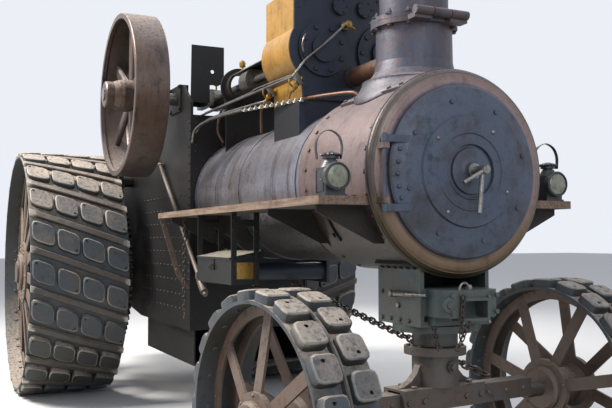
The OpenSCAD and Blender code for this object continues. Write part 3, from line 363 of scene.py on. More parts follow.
# %% [markdown]
# ## Shapes from arrays
#
# Every added piece is a set of rings. A ring is a row of points, and a shape is several rings joined by
# quads, closed round each ring and capped at both ends: a rivet, a tread block, a bent pipe and a
# lathe-turned hub are all that. The same rings can be set down many times at once by multiplying arrays,
# so no vertex is placed by a loop.

# %% Heads stood up on a surface


def unit(v):
    """Vectors of length one."""
    v = np.asarray(v, float)
    return v / np.linalg.norm(v, axis=-1, keepdims=True)


def frames(normals):
    """Two directions square to each normal: any side direction, then the one square to both."""
    n = unit(normals)
    side = np.where(np.abs(n[..., 2:3]) < 0.9, [0.0, 0, 1], [1.0, 0, 0])
    u = unit(np.cross(side, n))
    return u, np.cross(n, u)


def round_ring(sides):
    """Cosines and sines of evenly spaced angles."""
    a = np.arange(sides) / sides * 2 * np.pi
    return np.cos(a), np.sin(a)


def stood(profile, places, normals, sides=8):
    """A profile of (radius, height) turned round each normal: rings for Shape, one copy a place."""
    places = np.atleast_2d(places)
    n = np.atleast_2d(unit(normals)) + np.zeros_like(places)
    u, v = frames(n)
    c, s = round_ring(sides)
    out = u[:, None, :] * c[:, None] + v[:, None, :] * s[:, None]
    r, h = np.array(profile, float).T
    return places[:, None, None] + out[:, None] * r[:, None, None] + n[:, None, None] * h[:, None, None]


def rivet(r):
    """Profile of a rivet's round head."""
    a = np.linspace(0, np.pi / 2, 4)[:-1]
    dome = [(r * math.cos(x), 0.75 * r * math.sin(x)) for x in a]
    return [(r * 1.05, -0.2 * r)] + dome + [(0.25 * r, 0.74 * r)]


def bolt(r):
    """Profile of a bolt's head with a chamfer; it takes six sides."""
    return [(r, -0.2 * r), (r, 0.6 * r), (0.85 * r, 0.75 * r)]


# %% Bars bent along a path


def path_through(points, per=6):
    """A smooth path through the points: each stretch is a cubic whose slopes at its ends come from its
    neighbours."""
    p = np.asarray(points, float)
    if len(p) == 2:
        return p
    q = np.concatenate([[2 * p[0] - p[1]], p, [2 * p[-1] - p[-2]]])
    t = np.linspace(0, 1, per, endpoint=False)[:, None]
    a, b, c, d = (q[i:len(q) - 3 + i, None] for i in range(4))
    square, cube = (2 * a - 5 * b + 4 * c - d) * t ** 2, (3 * b - a - 3 * c + d) * t ** 3
    curve = 0.5 * (2 * b + (c - a) * t + square + cube)
    return np.concatenate([curve.reshape(-1, 3), p[-1:]])


def tube(points, radius, sides=10, per=6):
    """Rings of that radius, or radii, along a smooth path. Each ring is square to the path there."""
    p = path_through(points, per)
    along = unit(np.gradient(p, axis=0))
    ref = np.cross(along[0], [0, 0, 1.0]) if abs(along[0][2]) < 0.95 else np.array([0, 1.0, 0])
    u = unit(ref - along * (along @ ref)[:, None])
    v = np.cross(along, u)
    c, s = round_ring(sides)
    if np.size(radius) > 1:
        radius = np.interp(np.linspace(0, 1, len(p)), np.linspace(0, 1, np.size(radius)), radius)
    r = np.broadcast_to(radius, len(p))
    return p[:, None] + (u[:, None] * c[:, None] + v[:, None] * s[:, None]) * r[:, None, None]


def at(x, y, z):
    """A place whose x is stated from the rear axle, in the engine's own frame."""
    return np.array([REAR_X + x, y, z])


def spots(rows):
    """A list of such places."""
    return np.array(rows, float) + at(0, 0, 0)


# %% Rings, and what joins them


class Shape:
    """Points and faces gathered from several parts before they become one mesh."""

    def __init__(self):
        self.points, self.faces, self.marks, self.count = [], [], [], 0

    def rings(self, rings, caps=True, closed=False, marks=0.0):
        """Joins rings of shape (copies, rings, points, 3) by quads. caps closes the first and last ring
        with one face each; closed joins the last ring back to the first, as in a torus. marks, one a ring,
        are 1 where the surface is worn bright."""
        rings = np.asarray(rings, float)
        if rings.ndim == 3:
            rings = rings[None]
        copies, rows, cols, _ = rings.shape
        index = np.arange(copies * rows * cols).reshape(copies, rows, cols) + self.count
        ahead = np.roll(index, -1, 1) if closed else index[:, 1:]
        here = index if closed else index[:, :-1]
        quads = np.stack([here, np.roll(here, -1, 2), np.roll(ahead, -1, 2), ahead], -1).reshape(-1, 4)
        self.faces += quads.tolist()
        if caps and not closed:
            self.faces += index[:, 0, ::-1].tolist() + index[:, -1].tolist()
        self.marks.append((np.zeros((copies, rows, cols)) + np.reshape(marks, (-1, 1))).ravel())
        self.points.append(rings.reshape(-1, 3))
        self.count += rings.size // 3
        return self

    def bolts(self, size, places, normals):
        """Six-sided heads of that radius at the places."""
        return self.rings(stood(bolt(size), places, normals, 6))

    def rivets(self, size, places, normals):
        """Round heads of that radius at the places."""
        return self.rings(stood(rivet(size), places, normals))

    def pipe(self, rows, radius, sides=10, per=6):
        """A tube through places whose x is stated from the rear axle."""
        return self.rings(tube(spots(rows), radius, sides, per))

    def piece(self, name, body, finish, slot=None, smooth=35, swaps=()):
        """Makes the mesh, rides it on body, and gives it its finish; slot is not used. Edges sharper than
        smooth degrees stay sharp. swaps are the frame's nodes that the piece stands for."""
        mesh = bpy.data.meshes.new(name)
        mesh.from_pydata(np.concatenate(self.points).tolist(), [], self.faces)
        mesh.attributes.new("edge", "FLOAT", "POINT").data.foreach_set("value", np.concatenate(self.marks))
        obj = bpy.data.objects.new(name, mesh)
        bpy.context.scene.collection.objects.link(obj)
        mesh.materials.append(FINISH[finish])
        mesh.polygons.foreach_set("use_smooth", np.ones(len(mesh.polygons), bool))
        mesh.set_sharp_from_angle(angle=math.radians(smooth))
        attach(obj, body)
        if swaps:
            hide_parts(*swaps)
        print(name, sum(len(f) - 2 for f in self.faces), "triangles")


# %% [markdown]
# ## Rear treads
#
# A road-going engine of this weight has a flat steel tyre. Slanted strakes are riveted across it, and
# between them sit rows of four blocks with clipped corners, each held by a bolt from inside through one
# corner. One block is six rings: foot, shoulder, top edge, the line where its worn edge ends, and rim and
# floor of the bolt hole. They are worked out once and set down at every row and column.

# %% A tread block
BLOCK_MARKS = (0, 0.6, 1, 0, 0, 0)
HOLE_R, HOLE_DEPTH, HOLE_INSET = 0.0095, 0.018, 0.03
FOOT, BEVEL, BEVEL_DROP, WORN = 0.012, 0.007, 0.006, 0.012


def block_rings(length, width, height, clip, hole, skew=0.0):
    """The six rings of one block, as (around, across, out). The outline is a rectangle with clipped
    corners, leaned over by skew across its width; hole says towards which corner the bolt hole lies."""
    a, b = length / 2, width / 2
    corner = np.array([(a, b - clip), (a - clip * 0.3, b - clip * 0.3), (a - clip, b)])
    outline = np.concatenate([corner, corner[::-1] * (-1, 1), corner * (-1, -1), corner[::-1] * (1, -1)])
    middle = (hole[0] * (a - HOLE_INSET), hole[1] * (b - HOLE_INSET))
    circle = middle + unit(outline - middle) * HOLE_R
    flat = [outline, outline, outline * (1 - BEVEL / a), outline * (1 - WORN / a), circle, circle]
    out = [-FOOT, height - BEVEL_DROP, height, height, height, height - HOLE_DEPTH]
    return np.stack([np.column_stack([f[:, 0] + skew * f[:, 1], f[:, 1], np.full(len(f), h)])
                     for f, h in zip(flat, out)])


def on_wheel(rings, angle, across, rim_r):
    """Sets rings of (around, across, out) on a wheel at that angle and place across it, in the wheel's own
    frame: x forward, y outward along the axle, z up."""
    angle, across = np.ravel(angle)[:, None, None], np.ravel(across)[:, None, None]
    around, side, out = rings[..., 0], rings[..., 1], rings[..., 2]
    c, s, r = np.cos(angle), np.sin(angle), rim_r + out
    return np.stack([r * c - around * s, across + side, -r * s - around * c], -1)


print("rings of a block", block_rings(0.168, 0.174, 0.045, 0.040, (1, 1)).shape)

# %% Rows of blocks on the rear wheel
REAR_R, REAR_W, REAR_IN = 1.067, 0.770, 0.664
BLOCK_H, RIM_T, REAR_ROWS, REAR_ACROSS, SLANT = 0.045, 0.016, 21, 4, math.radians(15.5)
REAR_RIM_R, REAR_MID = REAR_R - BLOCK_H, REAR_IN + REAR_W / 2
REAR_LONG, REAR_WIDE, REAR_CLIP = 0.168, 0.174, 0.040
LEAN = -REAR_R * SLANT / REAR_W
cells = np.stack(np.meshgrid(np.arange(REAR_ROWS), np.arange(REAR_ACROSS), indexing="ij"), -1).reshape(-1, 2)
across = (cells[:, 1] + 0.5) * REAR_W / REAR_ACROSS - REAR_W / 2
angle = np.pi / 2 + cells[:, 0] * 2 * np.pi / REAR_ROWS - across / REAR_W * SLANT
top = math.sqrt(REAR_R ** 2 - (REAR_LONG / 2 - LEAN * REAR_WIDE / 2) ** 2) - REAR_RIM_R
rear_blocks = []
for k in range(REAR_ACROSS):
    one = block_rings(REAR_LONG, REAR_WIDE, top, REAR_CLIP, (-1, 1) if k % 2 else (1, -1), LEAN)[None]
    rear_blocks.append(on_wheel(one, angle[cells[:, 1] == k], across[cells[:, 1] == k], REAR_RIM_R))
print("blocks", len(cells))

# %% Strakes and rim of the rear wheel
STRAKE_MARKS = (1, 0.1, 0.1, 0.1, 0.1, 0.1, 0.1, 0.1, 1)
ROUND = 0.002               # how far the rim's edges are rounded off
step = np.linspace(-0.5, 0.5, len(STRAKE_MARKS)) * REAR_W
bar = np.array([(-0.026, -0.01), (-0.026, 0.024), (-0.020, 0.030), (0.020, 0.030), (0.026, 0.024),
                (0.026, -0.01)])
row = np.pi / 2 + (np.arange(REAR_ROWS) + 0.5) * 2 * np.pi / REAR_ROWS
lean = row[:, None, None] - step[:, None] / REAR_W * SLANT
r = REAR_RIM_R + bar[:, 1]
strakes = np.stack([r * np.cos(lean) - bar[:, 0] * np.sin(lean), step[:, None] + 0 * lean * r,
                    -r * np.sin(lean) - bar[:, 0] * np.cos(lean)], -1)
edge, low = REAR_W / 2, REAR_RIM_R - RIM_T
rim = [(low, -edge + ROUND), (low + ROUND, -edge), (REAR_RIM_R - ROUND, -edge), (REAR_RIM_R, -edge + ROUND),
       (REAR_RIM_R, edge - ROUND), (REAR_RIM_R - ROUND, edge), (low + ROUND, edge), (low, edge - ROUND)]
print("strakes", strakes.shape[0])

# %% Both rear treads


def lathe(profile, sides):
    """A closed profile of (radius, along) carried round the axle: rings to be joined last to first."""
    c, s = (k[:, None] for k in round_ring(sides))
    radius, along = np.array(profile).T
    return np.stack([radius * c, along + 0 * c, radius * s], -1)


def sided(rings, side):
    """The rings as they are on the left, side 1. On the right, side -1, across is turned over, and each ring
    runs backwards so that faces stay outward."""
    return rings if side > 0 else (rings * (1, -1, 1))[..., ::-1, :]


def nuts(angle, across, rim_r, size):
    """Six-sided nuts on the inner face of a rim, one for each angle and place across it. They point at the
    axle."""
    radial = np.stack([np.cos(angle), 0 * angle, -np.sin(angle)], -1)
    on_face = radial * (rim_r - RIM_T) + np.stack([0 * angle, across, 0 * angle], -1)
    return stood(bolt(size), on_face, -radial, 6)


NUT_TURN = 0.045            # each block has two nuts, so far to either side of its middle, in radians
rim_nuts = nuts(np.concatenate([angle - NUT_TURN, angle + NUT_TURN]), np.tile(across, 2), REAR_RIM_R, 0.014)
for side, word in ((-1, "right"), (1, "left")):
    centre = at(0, side * REAR_MID, REAR_R)
    tread, bars = Shape(), Shape()
    for blocks in rear_blocks:
        tread.rings(sided(blocks, side) + centre, marks=BLOCK_MARKS)
    tread.rings(sided(rim_nuts, side) + centre)
    tread.rings(sided(lathe(rim, 120), side) + centre, closed=True)
    bars.rings(sided(strakes, side) + centre, marks=STRAKE_MARKS)
    tread.piece(f"rear_tread_{word}", f"rear_wheel_{word}", "tread_iron", None, 25, [f"rear_rim_{word}"])
    bars.piece(f"rear_strakes_{word}", f"rear_wheel_{word}", "strake_iron", "tread_iron", 25)

# %% [markdown]
# ## Front treads
#
# The front tyres are narrower. They carry two rows of the same kind of block, staggered, on either
# side of a rib that keeps the wheel from slipping sideways. The front wheels stand turned with the axle.

# %% Places on the front axle
FRONT_R, FRONT_W, FRONT_TRACK, FRONT_ROWS, WHEELBASE = 0.572, 0.284, 0.862, 22, 4.393
FRONT_RIM_R, STEER = FRONT_R - BLOCK_H, math.radians(7)


def on_axle(points):
    """Points stated from the steering pivot, x forward and y along the axle, turned with it into place."""
    c, s = math.cos(STEER), math.sin(STEER)
    p = np.asarray(points, float)
    turned = np.stack([p[..., 0] * c - p[..., 1] * s, p[..., 0] * s + p[..., 1] * c, p[..., 2]], -1)
    return turned + at(WHEELBASE, 0, 0)


print("steering pivot", on_axle([0, 0, 0]).round(4))

# %% Both front treads
FRONT_LONG, FRONT_CLIP, FRONT_WIDE = 0.120, 0.027, FRONT_W / 2 - 0.019
top = math.sqrt(FRONT_R ** 2 - (FRONT_LONG / 2) ** 2) - FRONT_RIM_R
half = FRONT_W / 2
tyre = [(FRONT_RIM_R - RIM_T, -half), (FRONT_RIM_R, -half), (FRONT_RIM_R, half), (FRONT_RIM_R - RIM_T, half)]
RIB = ((-0.002, -0.012), (0.020, -0.010), (0.026, -0.005), (0.026, 0.005), (0.020, 0.010), (-0.002, 0.012))
band = [(FRONT_RIM_R + out, along) for out, along in RIB]
for side, word in ((-1, "right"), (1, "left")):
    centre = (0, side * FRONT_TRACK, FRONT_R)
    tread, rib = Shape(), Shape()
    for s in (-1, 1):
        turned = np.pi / 2 + (np.arange(FRONT_ROWS) + (s + 1) / 4) * 2 * np.pi / FRONT_ROWS
        one = block_rings(FRONT_LONG, FRONT_WIDE, top, FRONT_CLIP, (-s, s * 0.3))[None]
        blocks = on_wheel(one, turned, s * (half - 0.004 - FRONT_WIDE / 2) + 0 * turned, FRONT_RIM_R)
        tread.rings(on_axle(sided(blocks, side) + centre), marks=BLOCK_MARKS)
        inner_nuts = nuts(turned, s * 0.085 + 0 * turned, FRONT_RIM_R, 0.011)
        tread.rings(on_axle(sided(inner_nuts, side) + centre))
    for shape, profile in ((tread, tyre), (rib, band)):
        shape.rings(on_axle(sided(lathe(profile, 96), side) + centre), closed=True)
    tread.piece(f"front_tread_{word}", f"front_wheel_{word}", "tread_iron", None, 25, [f"front_rim_{word}"])
    rib.piece(f"front_rib_{word}", f"front_wheel_{word}", "strake_iron", "tread_iron", 25)

# %% [markdown]
# ## Rivets and bolts
#
# Boiler work of this age shows how it is held together. A rivet is a low dome, a bolt a six-sided head.
# Both are lathe profiles stood up on a surface at a list of places, so one call makes a whole row, and
# each row belongs to the piece that carries it.

# %% Rows and rings of fasteners


def ring_x(x, y, z, radius, degrees):
    """Places on a circle that faces forward, counted in degrees from the engine's left."""
    a = np.radians(np.atleast_1d(degrees).astype(float))
    return at(x, y, z) + np.stack([0 * a, radius * np.cos(a), radius * np.sin(a)], -1)


def ring_z(x, y, z, radius, degrees):
    """Places on a level circle, counted in degrees from the front."""
    a = np.radians(np.atleast_1d(degrees).astype(float))
    return at(x, y, z) + np.stack([radius * np.cos(a), radius * np.sin(a), 0 * a], -1)


def grid(xs, ys, zs):
    """Every place whose x, y and z are in the three lists."""
    return np.stack(np.meshgrid(xs, ys, zs, indexing="ij"), -1).reshape(-1, 3) + at(0, 0, 0)


def both(places):
    """The same places on both sides of the engine."""
    return np.concatenate([places, places * (1, -1, 1)])


def outward(places):
    """Directions that point sideways, away from the centre plane."""
    return np.stack([0 * places[:, 0], np.sign(places[:, 1]), 0 * places[:, 0]], -1)


FRONT, BACK, UP, DOWN = (1, 0, 0), (-1, 0, 0), (0, 0, 1), (0, 0, -1)
EIGHT = np.arange(0, 360, 45)
print("a ring of", len(ring_x(0, 0, 0, 1, EIGHT)), "places")

# %% Smokebox door
STRAP = ((-0.332, 1.786), (-0.351, 1.740), (-0.361, 1.684), (-0.363, 1.631), (-0.356, 1.577), (-0.344, 1.527),
         (-0.318, 1.476), (-0.322, 1.571))
door = Shape().bolts(0.012, ring_x(4.663, 0, AXIS_Z, 0.322, EIGHT + 15), FRONT)
door.rivets(0.010, spots([(4.656, y, z) for y, z in STRAP]), FRONT)
door.piece("door_bolts", "smokebox_door", "door_iron")
raised = Shape().rivets(0.011, ring_x(4.685, 0, AXIS_Z, 0.222, (55, 141, 236, 336)), FRONT)
raised.piece("door_band_rivets", "smokebox_door", "bright_steel")

# %% Smokebox shell
SHELL_R, CHIMNEY_X, SEAM_BOLTS = 0.460, 4.230, 28
shell = Shape()
turn = np.delete(np.arange(SEAM_BOLTS), (20, 21, 22)) * 360 / SEAM_BOLTS + 0.5
for x, first, bare in ((4.528, 0, 8), (3.925, 0.5, 38)):
    places = ring_x(x, 0, AXIS_Z, SHELL_R, turn + first * 360 / SEAM_BOLTS)
    away = places - at(x, 0, AXIS_Z)
    keep = np.abs(np.degrees(np.arctan2(away[:, 1], away[:, 2]))) > bare
    shell.bolts(0.011, places[keep], away[keep])
round_base = np.arange(15, 375, 30)
shell.bolts(0.011, ring_z(CHIMNEY_X, 0, 2.075, 0.262, round_base),
            ring_z(CHIMNEY_X, 0, 2.075, 1, round_base) - at(CHIMNEY_X, 0, 2.075))
shell.piece("smokebox_bolts", "engine", "smokebox_steel")

# %% Chimney joint
FOLD_NUT = [(0.024, -0.002), (0.024, 0.003), (0.013, 0.003), (0.013, 0.014), (0.011, 0.016), (0.007, 0.016),
            (0.007, 0.026)]
fold = np.arange(40, 321, 28)
below = Shape().bolts(0.013, ring_z(CHIMNEY_X, 0, 2.391, 0.202, fold), DOWN)
below.piece("chimney_bolts_low", "engine", "chimney_rust")
above = Shape().rings(stood(FOLD_NUT, ring_z(CHIMNEY_X, 0, 2.440, 0.202, fold), UP, 6))
above.piece("chimney_bolts_high", "chimney", "chimney_rust")

# %% Cylinders
COVER_X, CYLINDER_Y, CYLINDER_Z = 3.622, 0.200, 2.415
BLOCK_X, BLOCK_TOP = 3.604, 2.774   # front face and top of the cylinder block
block = Shape()
block.bolts(0.015, ring_x(COVER_X, -CYLINDER_Y, CYLINDER_Z, 0.124, EIGHT + 22), FRONT)
block.bolts(0.015, ring_x(COVER_X, CYLINDER_Y, CYLINDER_Z, 0.152, np.arange(0, 360, 36)), FRONT)
for y in (-0.090, 0.070):
    block.bolts(0.007, ring_x(3.624, y, 2.670, 0.040, np.arange(0, 360, 60)), FRONT)
block.bolts(0.010, grid([3.260, 3.395, 3.530], [-0.290, -0.180, 0.180, 0.290], [BLOCK_TOP]), UP)
block.rivets(0.009, both(grid([BLOCK_X], [0.345], [2.640, 2.720])), FRONT)
block.rivets(0.009, grid([BLOCK_X], [-0.260, -0.160, 0, 0.160, 0.260], [2.730]), FRONT)
block.rivets(0.009, both(grid([BLOCK_X], [0.300], [2.150, 2.200])), FRONT)
block.piece("cylinder_bolts", "engine", "cylinder_dark")

# %% Hornplates and stretcher
PLATE_Y, THROAT_X = 0.465, 2.012    # outer face of a hornplate, front face of the stretcher
plates = Shape()
stays = both(grid(np.arange(0.72, 1.95, 0.105), [PLATE_Y], np.arange(0.84, 1.75, 0.105)))
rod_top, rod_foot = at(1.291, -0.489, 1.944), at(2.433, -0.489, 0.980)
beside_rod = np.abs(np.cross(stays - rod_top, unit(rod_foot - rod_top))[:, 1])
stays = stays[(beside_rod > 0.05) | (stays[:, 1] > 0)]
plates.rivets(0.011, stays, outward(stays))
edges = both(grid([1.985], [PLATE_Y], np.arange(1.06, 2.24, 0.060)))
plates.rivets(0.011, edges, outward(edges))
plates.rivets(0.013, both(grid([THROAT_X], [0.420], np.arange(1.99, 2.25, 0.050))), FRONT)
plates.rivets(0.012, ring_x(THROAT_X, 0, AXIS_Z, 0.445, np.arange(15, 166, 7.5)), FRONT)
bearings = both(grid([1.545, 1.773], [0.4773], [2.330, 2.495]))
plates.bolts(0.016, bearings, outward(bearings))
plates.piece("plate_rivets", "engine", "black_iron")

# %% Tender
TANK_X, TANK_Y, TANK_ROWS = (-1.600, -0.310), 0.520, [0.785, 1.185, 1.712]
tank = Shape()
rows = both(grid(np.linspace(*TANK_X, 22), [TANK_Y], TANK_ROWS))
seams = both(grid([-0.325, -0.960], [TANK_Y], np.arange(0.83, 1.70, 0.060)))
tank.rivets(0.009, rows, outward(rows)).rivets(0.009, seams, outward(seams))
tank.rivets(0.009, grid([-1.750], np.linspace(-0.36, 0.36, 13), TANK_ROWS), BACK)
tank.piece("tender_rivets", "engine", "tender_paint")

# %% [markdown]
# ## Rods, cocks and pipes
#
# Along the right side run thin rods that work the drain cocks. In front of the cylinders another one
# climbs to a brass valve. Over the boiler lies a pipe with a twisted stretch. Bars like these are
# tubes along a smooth path; the cocks and oil cups are brass profiles.

# %% Drain rods
rods = Shape()
for rows, radius in (
        ([(2.016, -0.395, 2.246), (2.70, -0.395, 2.243), (3.10, -0.398, 2.240),
          (3.645, -0.404, 2.234)], 0.0075),
        ([(2.060, -0.372, 2.262), (2.90, -0.374, 2.262), (3.10, -0.390, 2.262),
          (3.640, -0.400, 2.246)], 0.006),
        ([(3.650, -0.404, 2.234), (3.662, -0.380, 2.270), (3.668, -0.330, 2.335), (3.668, -0.240, 2.410),
          (3.660, -0.120, 2.520), (3.650, -0.062, 2.580)], 0.0065),
        ([(3.622, -0.315, 2.370), (3.650, -0.338, 2.380), (3.650, -0.345, 2.420), (3.650, -0.330, 2.470),
          (3.622, -0.300, 2.490)], 0.004)):
    rods.pipe(rows, radius)
rods.piece("drain_rods", "engine", "bright_steel")

# %% The pipe over the boiler and its twisted bar
TWIST_TURNS = 11
run = np.linspace(0, 1, 90)[:, None]
start, stop = at(2.960, -0.430, 2.150), at(3.620, -0.318, 2.125)
core = start + (stop - start) * run
side, over = frames(unit(stop - start))
spin = run * TWIST_TURNS * np.pi
section = np.array([(0.014, 0.003), (-0.014, 0.003), (-0.014, -0.003), (0.014, -0.003)])
wide = section[:, 0] * np.cos(spin) - section[:, 1] * np.sin(spin)
tall = section[:, 0] * np.sin(spin) + section[:, 1] * np.cos(spin)
pipes = Shape().rings(core[:, None] + wide[..., None] * side + tall[..., None] * over)
pipes.pipe([(2.014, -0.452, 2.05), (2.10, -0.458, 2.130), (2.40, -0.455, 2.160), (2.960, -0.430, 2.150)],
           0.010)
pipes.pipe([(2.014, -0.445, 2.10), (2.30, -0.425, 2.180), (3.10, -0.385, 2.172), (3.24, -0.365, 2.160)],
           0.009)
pipes.piece("twisted_bar", "engine", "bright_steel")

# %% Copper pipes
copper = Shape().pipe([(3.615, -0.318, 2.125), (3.80, -0.275, 2.118), (3.98, -0.232, 2.106),
                       (4.030, -0.215, 2.090), (4.055, -0.205, 2.060)], 0.011)
union = [(0.020, 0), (0.020, 0.014), (0.012, 0.016)]
copper.rings(stood(union, at(4.046, -0.208, 2.066), (-0.2, -0.1, 1), 6))
copper.pipe([(2.30, -0.330, 2.256), (2.33, -0.36, 2.20), (2.33, -0.37, 2.10), (2.33, -0.33, 2.02)], 0.008)
for s in (-1, 1):
    copper.pipe([(3.05, s * 0.20, 2.30), (3.06, s * 0.26, 2.26), (3.06, s * 0.34, 2.16),
                 (3.06, s * 0.345, 2.0)], 0.008)
copper.piece("copper_pipes", "engine", "pipe_copper")

# %% Brass: cups, cocks and valve
CUP = [(0.007, -0.012), (0.007, 0.030), (0.020, 0.034), (0.022, 0.040), (0.022, 0.066), (0.018, 0.070),
       (0.018, 0.074), (0.008, 0.078), (0.004, 0.084)]
COCK = [(0.010, -0.030), (0.010, 0.012), (0.016, 0.016), (0.018, 0.030), (0.016, 0.044), (0.010, 0.048),
        (0.010, 0.070), (0.006, 0.074)]
VALVE = [(0.026, -0.02), (0.026, 0.010), (0.016, 0.014), (0.014, 0.040), (0.022, 0.042), (0.022, 0.056),
         (0.012, 0.060)]
COLLAR = [(0.062, -0.004), (0.062, 0.008), (0.058, 0.011), (0.0455, 0.011), (0.0455, -0.004)]
brass = Shape()
guides = [(2.360, -0.200, 2.520), (3.080, -0.200, 2.520), (2.360, 0.200, 2.520), (3.080, 0.200, 2.520)]
cranks = [(1.809, -0.200, 2.484), (1.659, 0.200, 2.634)]
for rows in (guides, cranks):
    brass.rings(stood(CUP, spots(rows), UP, 12))
for x in (3.215, 3.590):
    foot = at(x, -0.352, 2.215)
    brass.rings(stood(COCK, foot, (0.35, -0.55, -0.75), 10))
    handle = foot + [(0.012, -0.020, -0.028), (0.020, -0.052, -0.012), (0.022, -0.052, 0.022)]
    spout = foot + [(0.012, -0.026, -0.030), (-0.02, -0.032, -0.062), (-0.034, -0.034, -0.085)]
    brass.rings(tube(handle, 0.006)).rings(tube(spout, 0.007))
brass.rings(stood(VALVE, at(3.606, -0.060, 2.560), FRONT, 6))
brass.pipe([(3.650, -0.062, 2.552), (3.652, -0.040, 2.548), (3.652, -0.020, 2.535)], 0.007)
for y, x, z in ((-0.200, 1.809, 2.415), (0.200, 1.659, 2.565)):
    for s in (-1, 1):
        brass.rings(stood(COLLAR, at(x, y + s * 0.040, z), (0, s, 0), 32), caps=False)
brass.piece("brass_fittings", "engine", "brass")
nozzles = stood([(0.020, -0.030), (0.020, 0.034), (0.017, 0.038), (0.010, 0.038)],
                spots([(3.215, -0.345, 2.228), (3.592, -0.345, 2.232)]), (0.10, -0.35, 0.5), 14)
Shape().rings(nozzles).piece("relief_valves", "engine", "bright_steel")

# %% [markdown]
# ## Steering chains
#
# The chains pull the axle round. Each link is a bar bent to a long ring, a circle swept round a path of
# two half circles and two straights. Neighbours stand at right angles.

# %% Real links
LINK_PITCH, LINK_IN, LINK_BAR = 0.046, 0.011, 0.0065


def chain(start, stop, size=1.0):
    """Rings of all links from start to stop, one copy a link. A link's path is a circle whose x is
    stretched. size makes the links smaller than those of the steering chains."""
    start, stop = start / size, stop / size
    along = unit(stop - start)
    count = int(np.linalg.norm(stop - start) / LINK_PITCH)
    side, over = frames(along)
    cos, sin = round_ring(14)
    bend = LINK_IN + LINK_BAR
    reach = LINK_PITCH / 2 + LINK_BAR - bend
    path = np.stack([cos * bend + np.sign(np.round(cos, 6)) * reach, sin * bend], -1)
    normal = np.stack([cos, sin], -1)
    c, s = round_ring(6)
    ring = path[:, None] + normal[:, None] * (LINK_BAR * c)[:, None]
    lift = np.broadcast_to(LINK_BAR * s, ring.shape[:2])[..., None]
    flat = along * ring[..., :1] + side * ring[..., 1:] - over * lift
    upright = along * ring[..., :1] + over * ring[..., 1:] + side * lift
    mid = start + along * ((np.arange(count) + 0.5) * LINK_PITCH)[:, None]
    odd = (np.arange(count) % 2)[:, None, None, None]
    return (np.where(odd, upright, flat) + mid[:, None, None]) * size


links = Shape()
for s in (-1, 1):
    links.rings(chain(at(2.430, s * 0.142, 1.050), at(4.375, s * 0.329, 0.673)), closed=True)
links.piece("chain_links", "engine", "chain_iron", smooth=60, swaps=["steering_chains"])

# %% [markdown]
# ## Lamps
#
# Two lamps stand on the ends of the running boards. The frame gives the box, cone and lens barrel. What
# makes them lamps is the bulging glass in its bezel, the slatted cap, the strap handle over it, and the
# door on the side with its hinge and catch.

# %% Lamp glass
GLASS = Finish("lamp_glass", Coat_Weight=0.6, Coat_Roughness=0.05, IOR=1.5)
cloud = GLASS.noise(30, 3)
milky = GLASS.mix(GLASS.band(cloud, 0.3, 0.8), tone("7f8270"), tone("4f5346"))
FINISH["lamp_glass"] = GLASS.coat(milky, 0.12 + cloud * 0.1, cloud, 0.0005)
LENS = [(0.053, -0.003)] + [(0.053 * math.cos(a), 0.012 * math.sin(a)) for a in np.linspace(0, 1.45, 7)]
BEZEL = [(0.0625, -0.008), (0.0625, 0.004), (0.059, 0.008), (0.054, 0.008), (0.053, 0.001)]
print("lens profile", len(LENS), "points")

# %% Cap, handle and door of a lamp
LAMP_X, LAMP_Y, LENS_Z = 4.500, 0.611, 1.620
HANDLE = ((-0.040, 1.700), (-0.052, 1.760), (-0.040, 1.806), (0.0, 1.828), (0.040, 1.806), (0.052, 1.760),
          (0.040, 1.700))


def slatted_cap(y):
    """Rings of the cap: from its neck out to a toothed edge, and in again to a button."""
    c, s = round_ring(28)
    teeth = 0.040 + 0.007 * (np.arange(28) % 2)
    rows = ((0.024, 1.708), (0.9 * teeth, 1.712), (teeth, 1.716), (0.9 * teeth, 1.722), (0.020, 1.729),
            (0.008, 1.732))
    return np.stack([np.stack([c * r, s * r, 0 * c + h], -1) for r, h in rows]) + at(LAMP_X, y, 0)


def strap_handle(y):
    """Rings of a flat strip that is bent to an arch over the cap: four corners along a smooth path."""
    arch = spots([(LAMP_X - 0.052 + k * 0.012, y + p, q) for k, (p, q) in enumerate(HANDLE)])
    strip = path_through(arch, 5)
    wide = np.array([1.0, 0, 0])
    thick = unit(np.cross(unit(np.gradient(strip, axis=0)), wide))
    return np.stack([strip + wide * a * 0.009 + thick * b * 0.0015
                     for a, b in ((1, 1), (-1, 1), (-1, -1), (1, -1))], 1)


def side_door(shape, y, s):
    """Adds the door on a lamp's outer side, with the bar of its hinge and its hooked catch."""
    face = at(LAMP_X - 0.002, y + s * 0.0485, 1.600)
    panel = np.array([(-0.030, -0.046), (0.030, -0.046), (0.030, 0.046), (-0.030, 0.046)])[::-s]
    shape.rings(np.stack([np.stack([p[:, 0], 0 * p[:, 0] + s * lift, p[:, 1]], -1) + face
                          for p, lift in ((panel, -0.004), (panel, 0.002), (panel * 0.9, 0.0035))]))
    hinge = face + [(-0.036, s * 0.002, -0.048), (-0.036, s * 0.002, 0.048)]
    catch = face + [(0.036, s * 0.002, 0.004), (0.036, s * 0.012, 0.004), (0.028, s * 0.014, 0.004)]
    shape.rings(tube(hinge, 0.004, 8)).rings(tube(catch, 0.003, 8))


glass, tin = Shape(), Shape()
for s in (-1, 1):
    y = s * LAMP_Y
    glass.rings(stood(LENS, at(4.567, y, LENS_Z), FRONT, 32))
    tin.rings(stood(BEZEL, at(4.566, y, LENS_Z), FRONT, 36), caps=False)
    tin.rings(slatted_cap(y)).rings(strap_handle(y))
    side_door(tin, y, s)
glass.piece("lamp_lenses", "engine", "lamp_glass", "brass", 60)
tin.piece("lamp_tinwork", "engine", "lamp_tin", "brass")

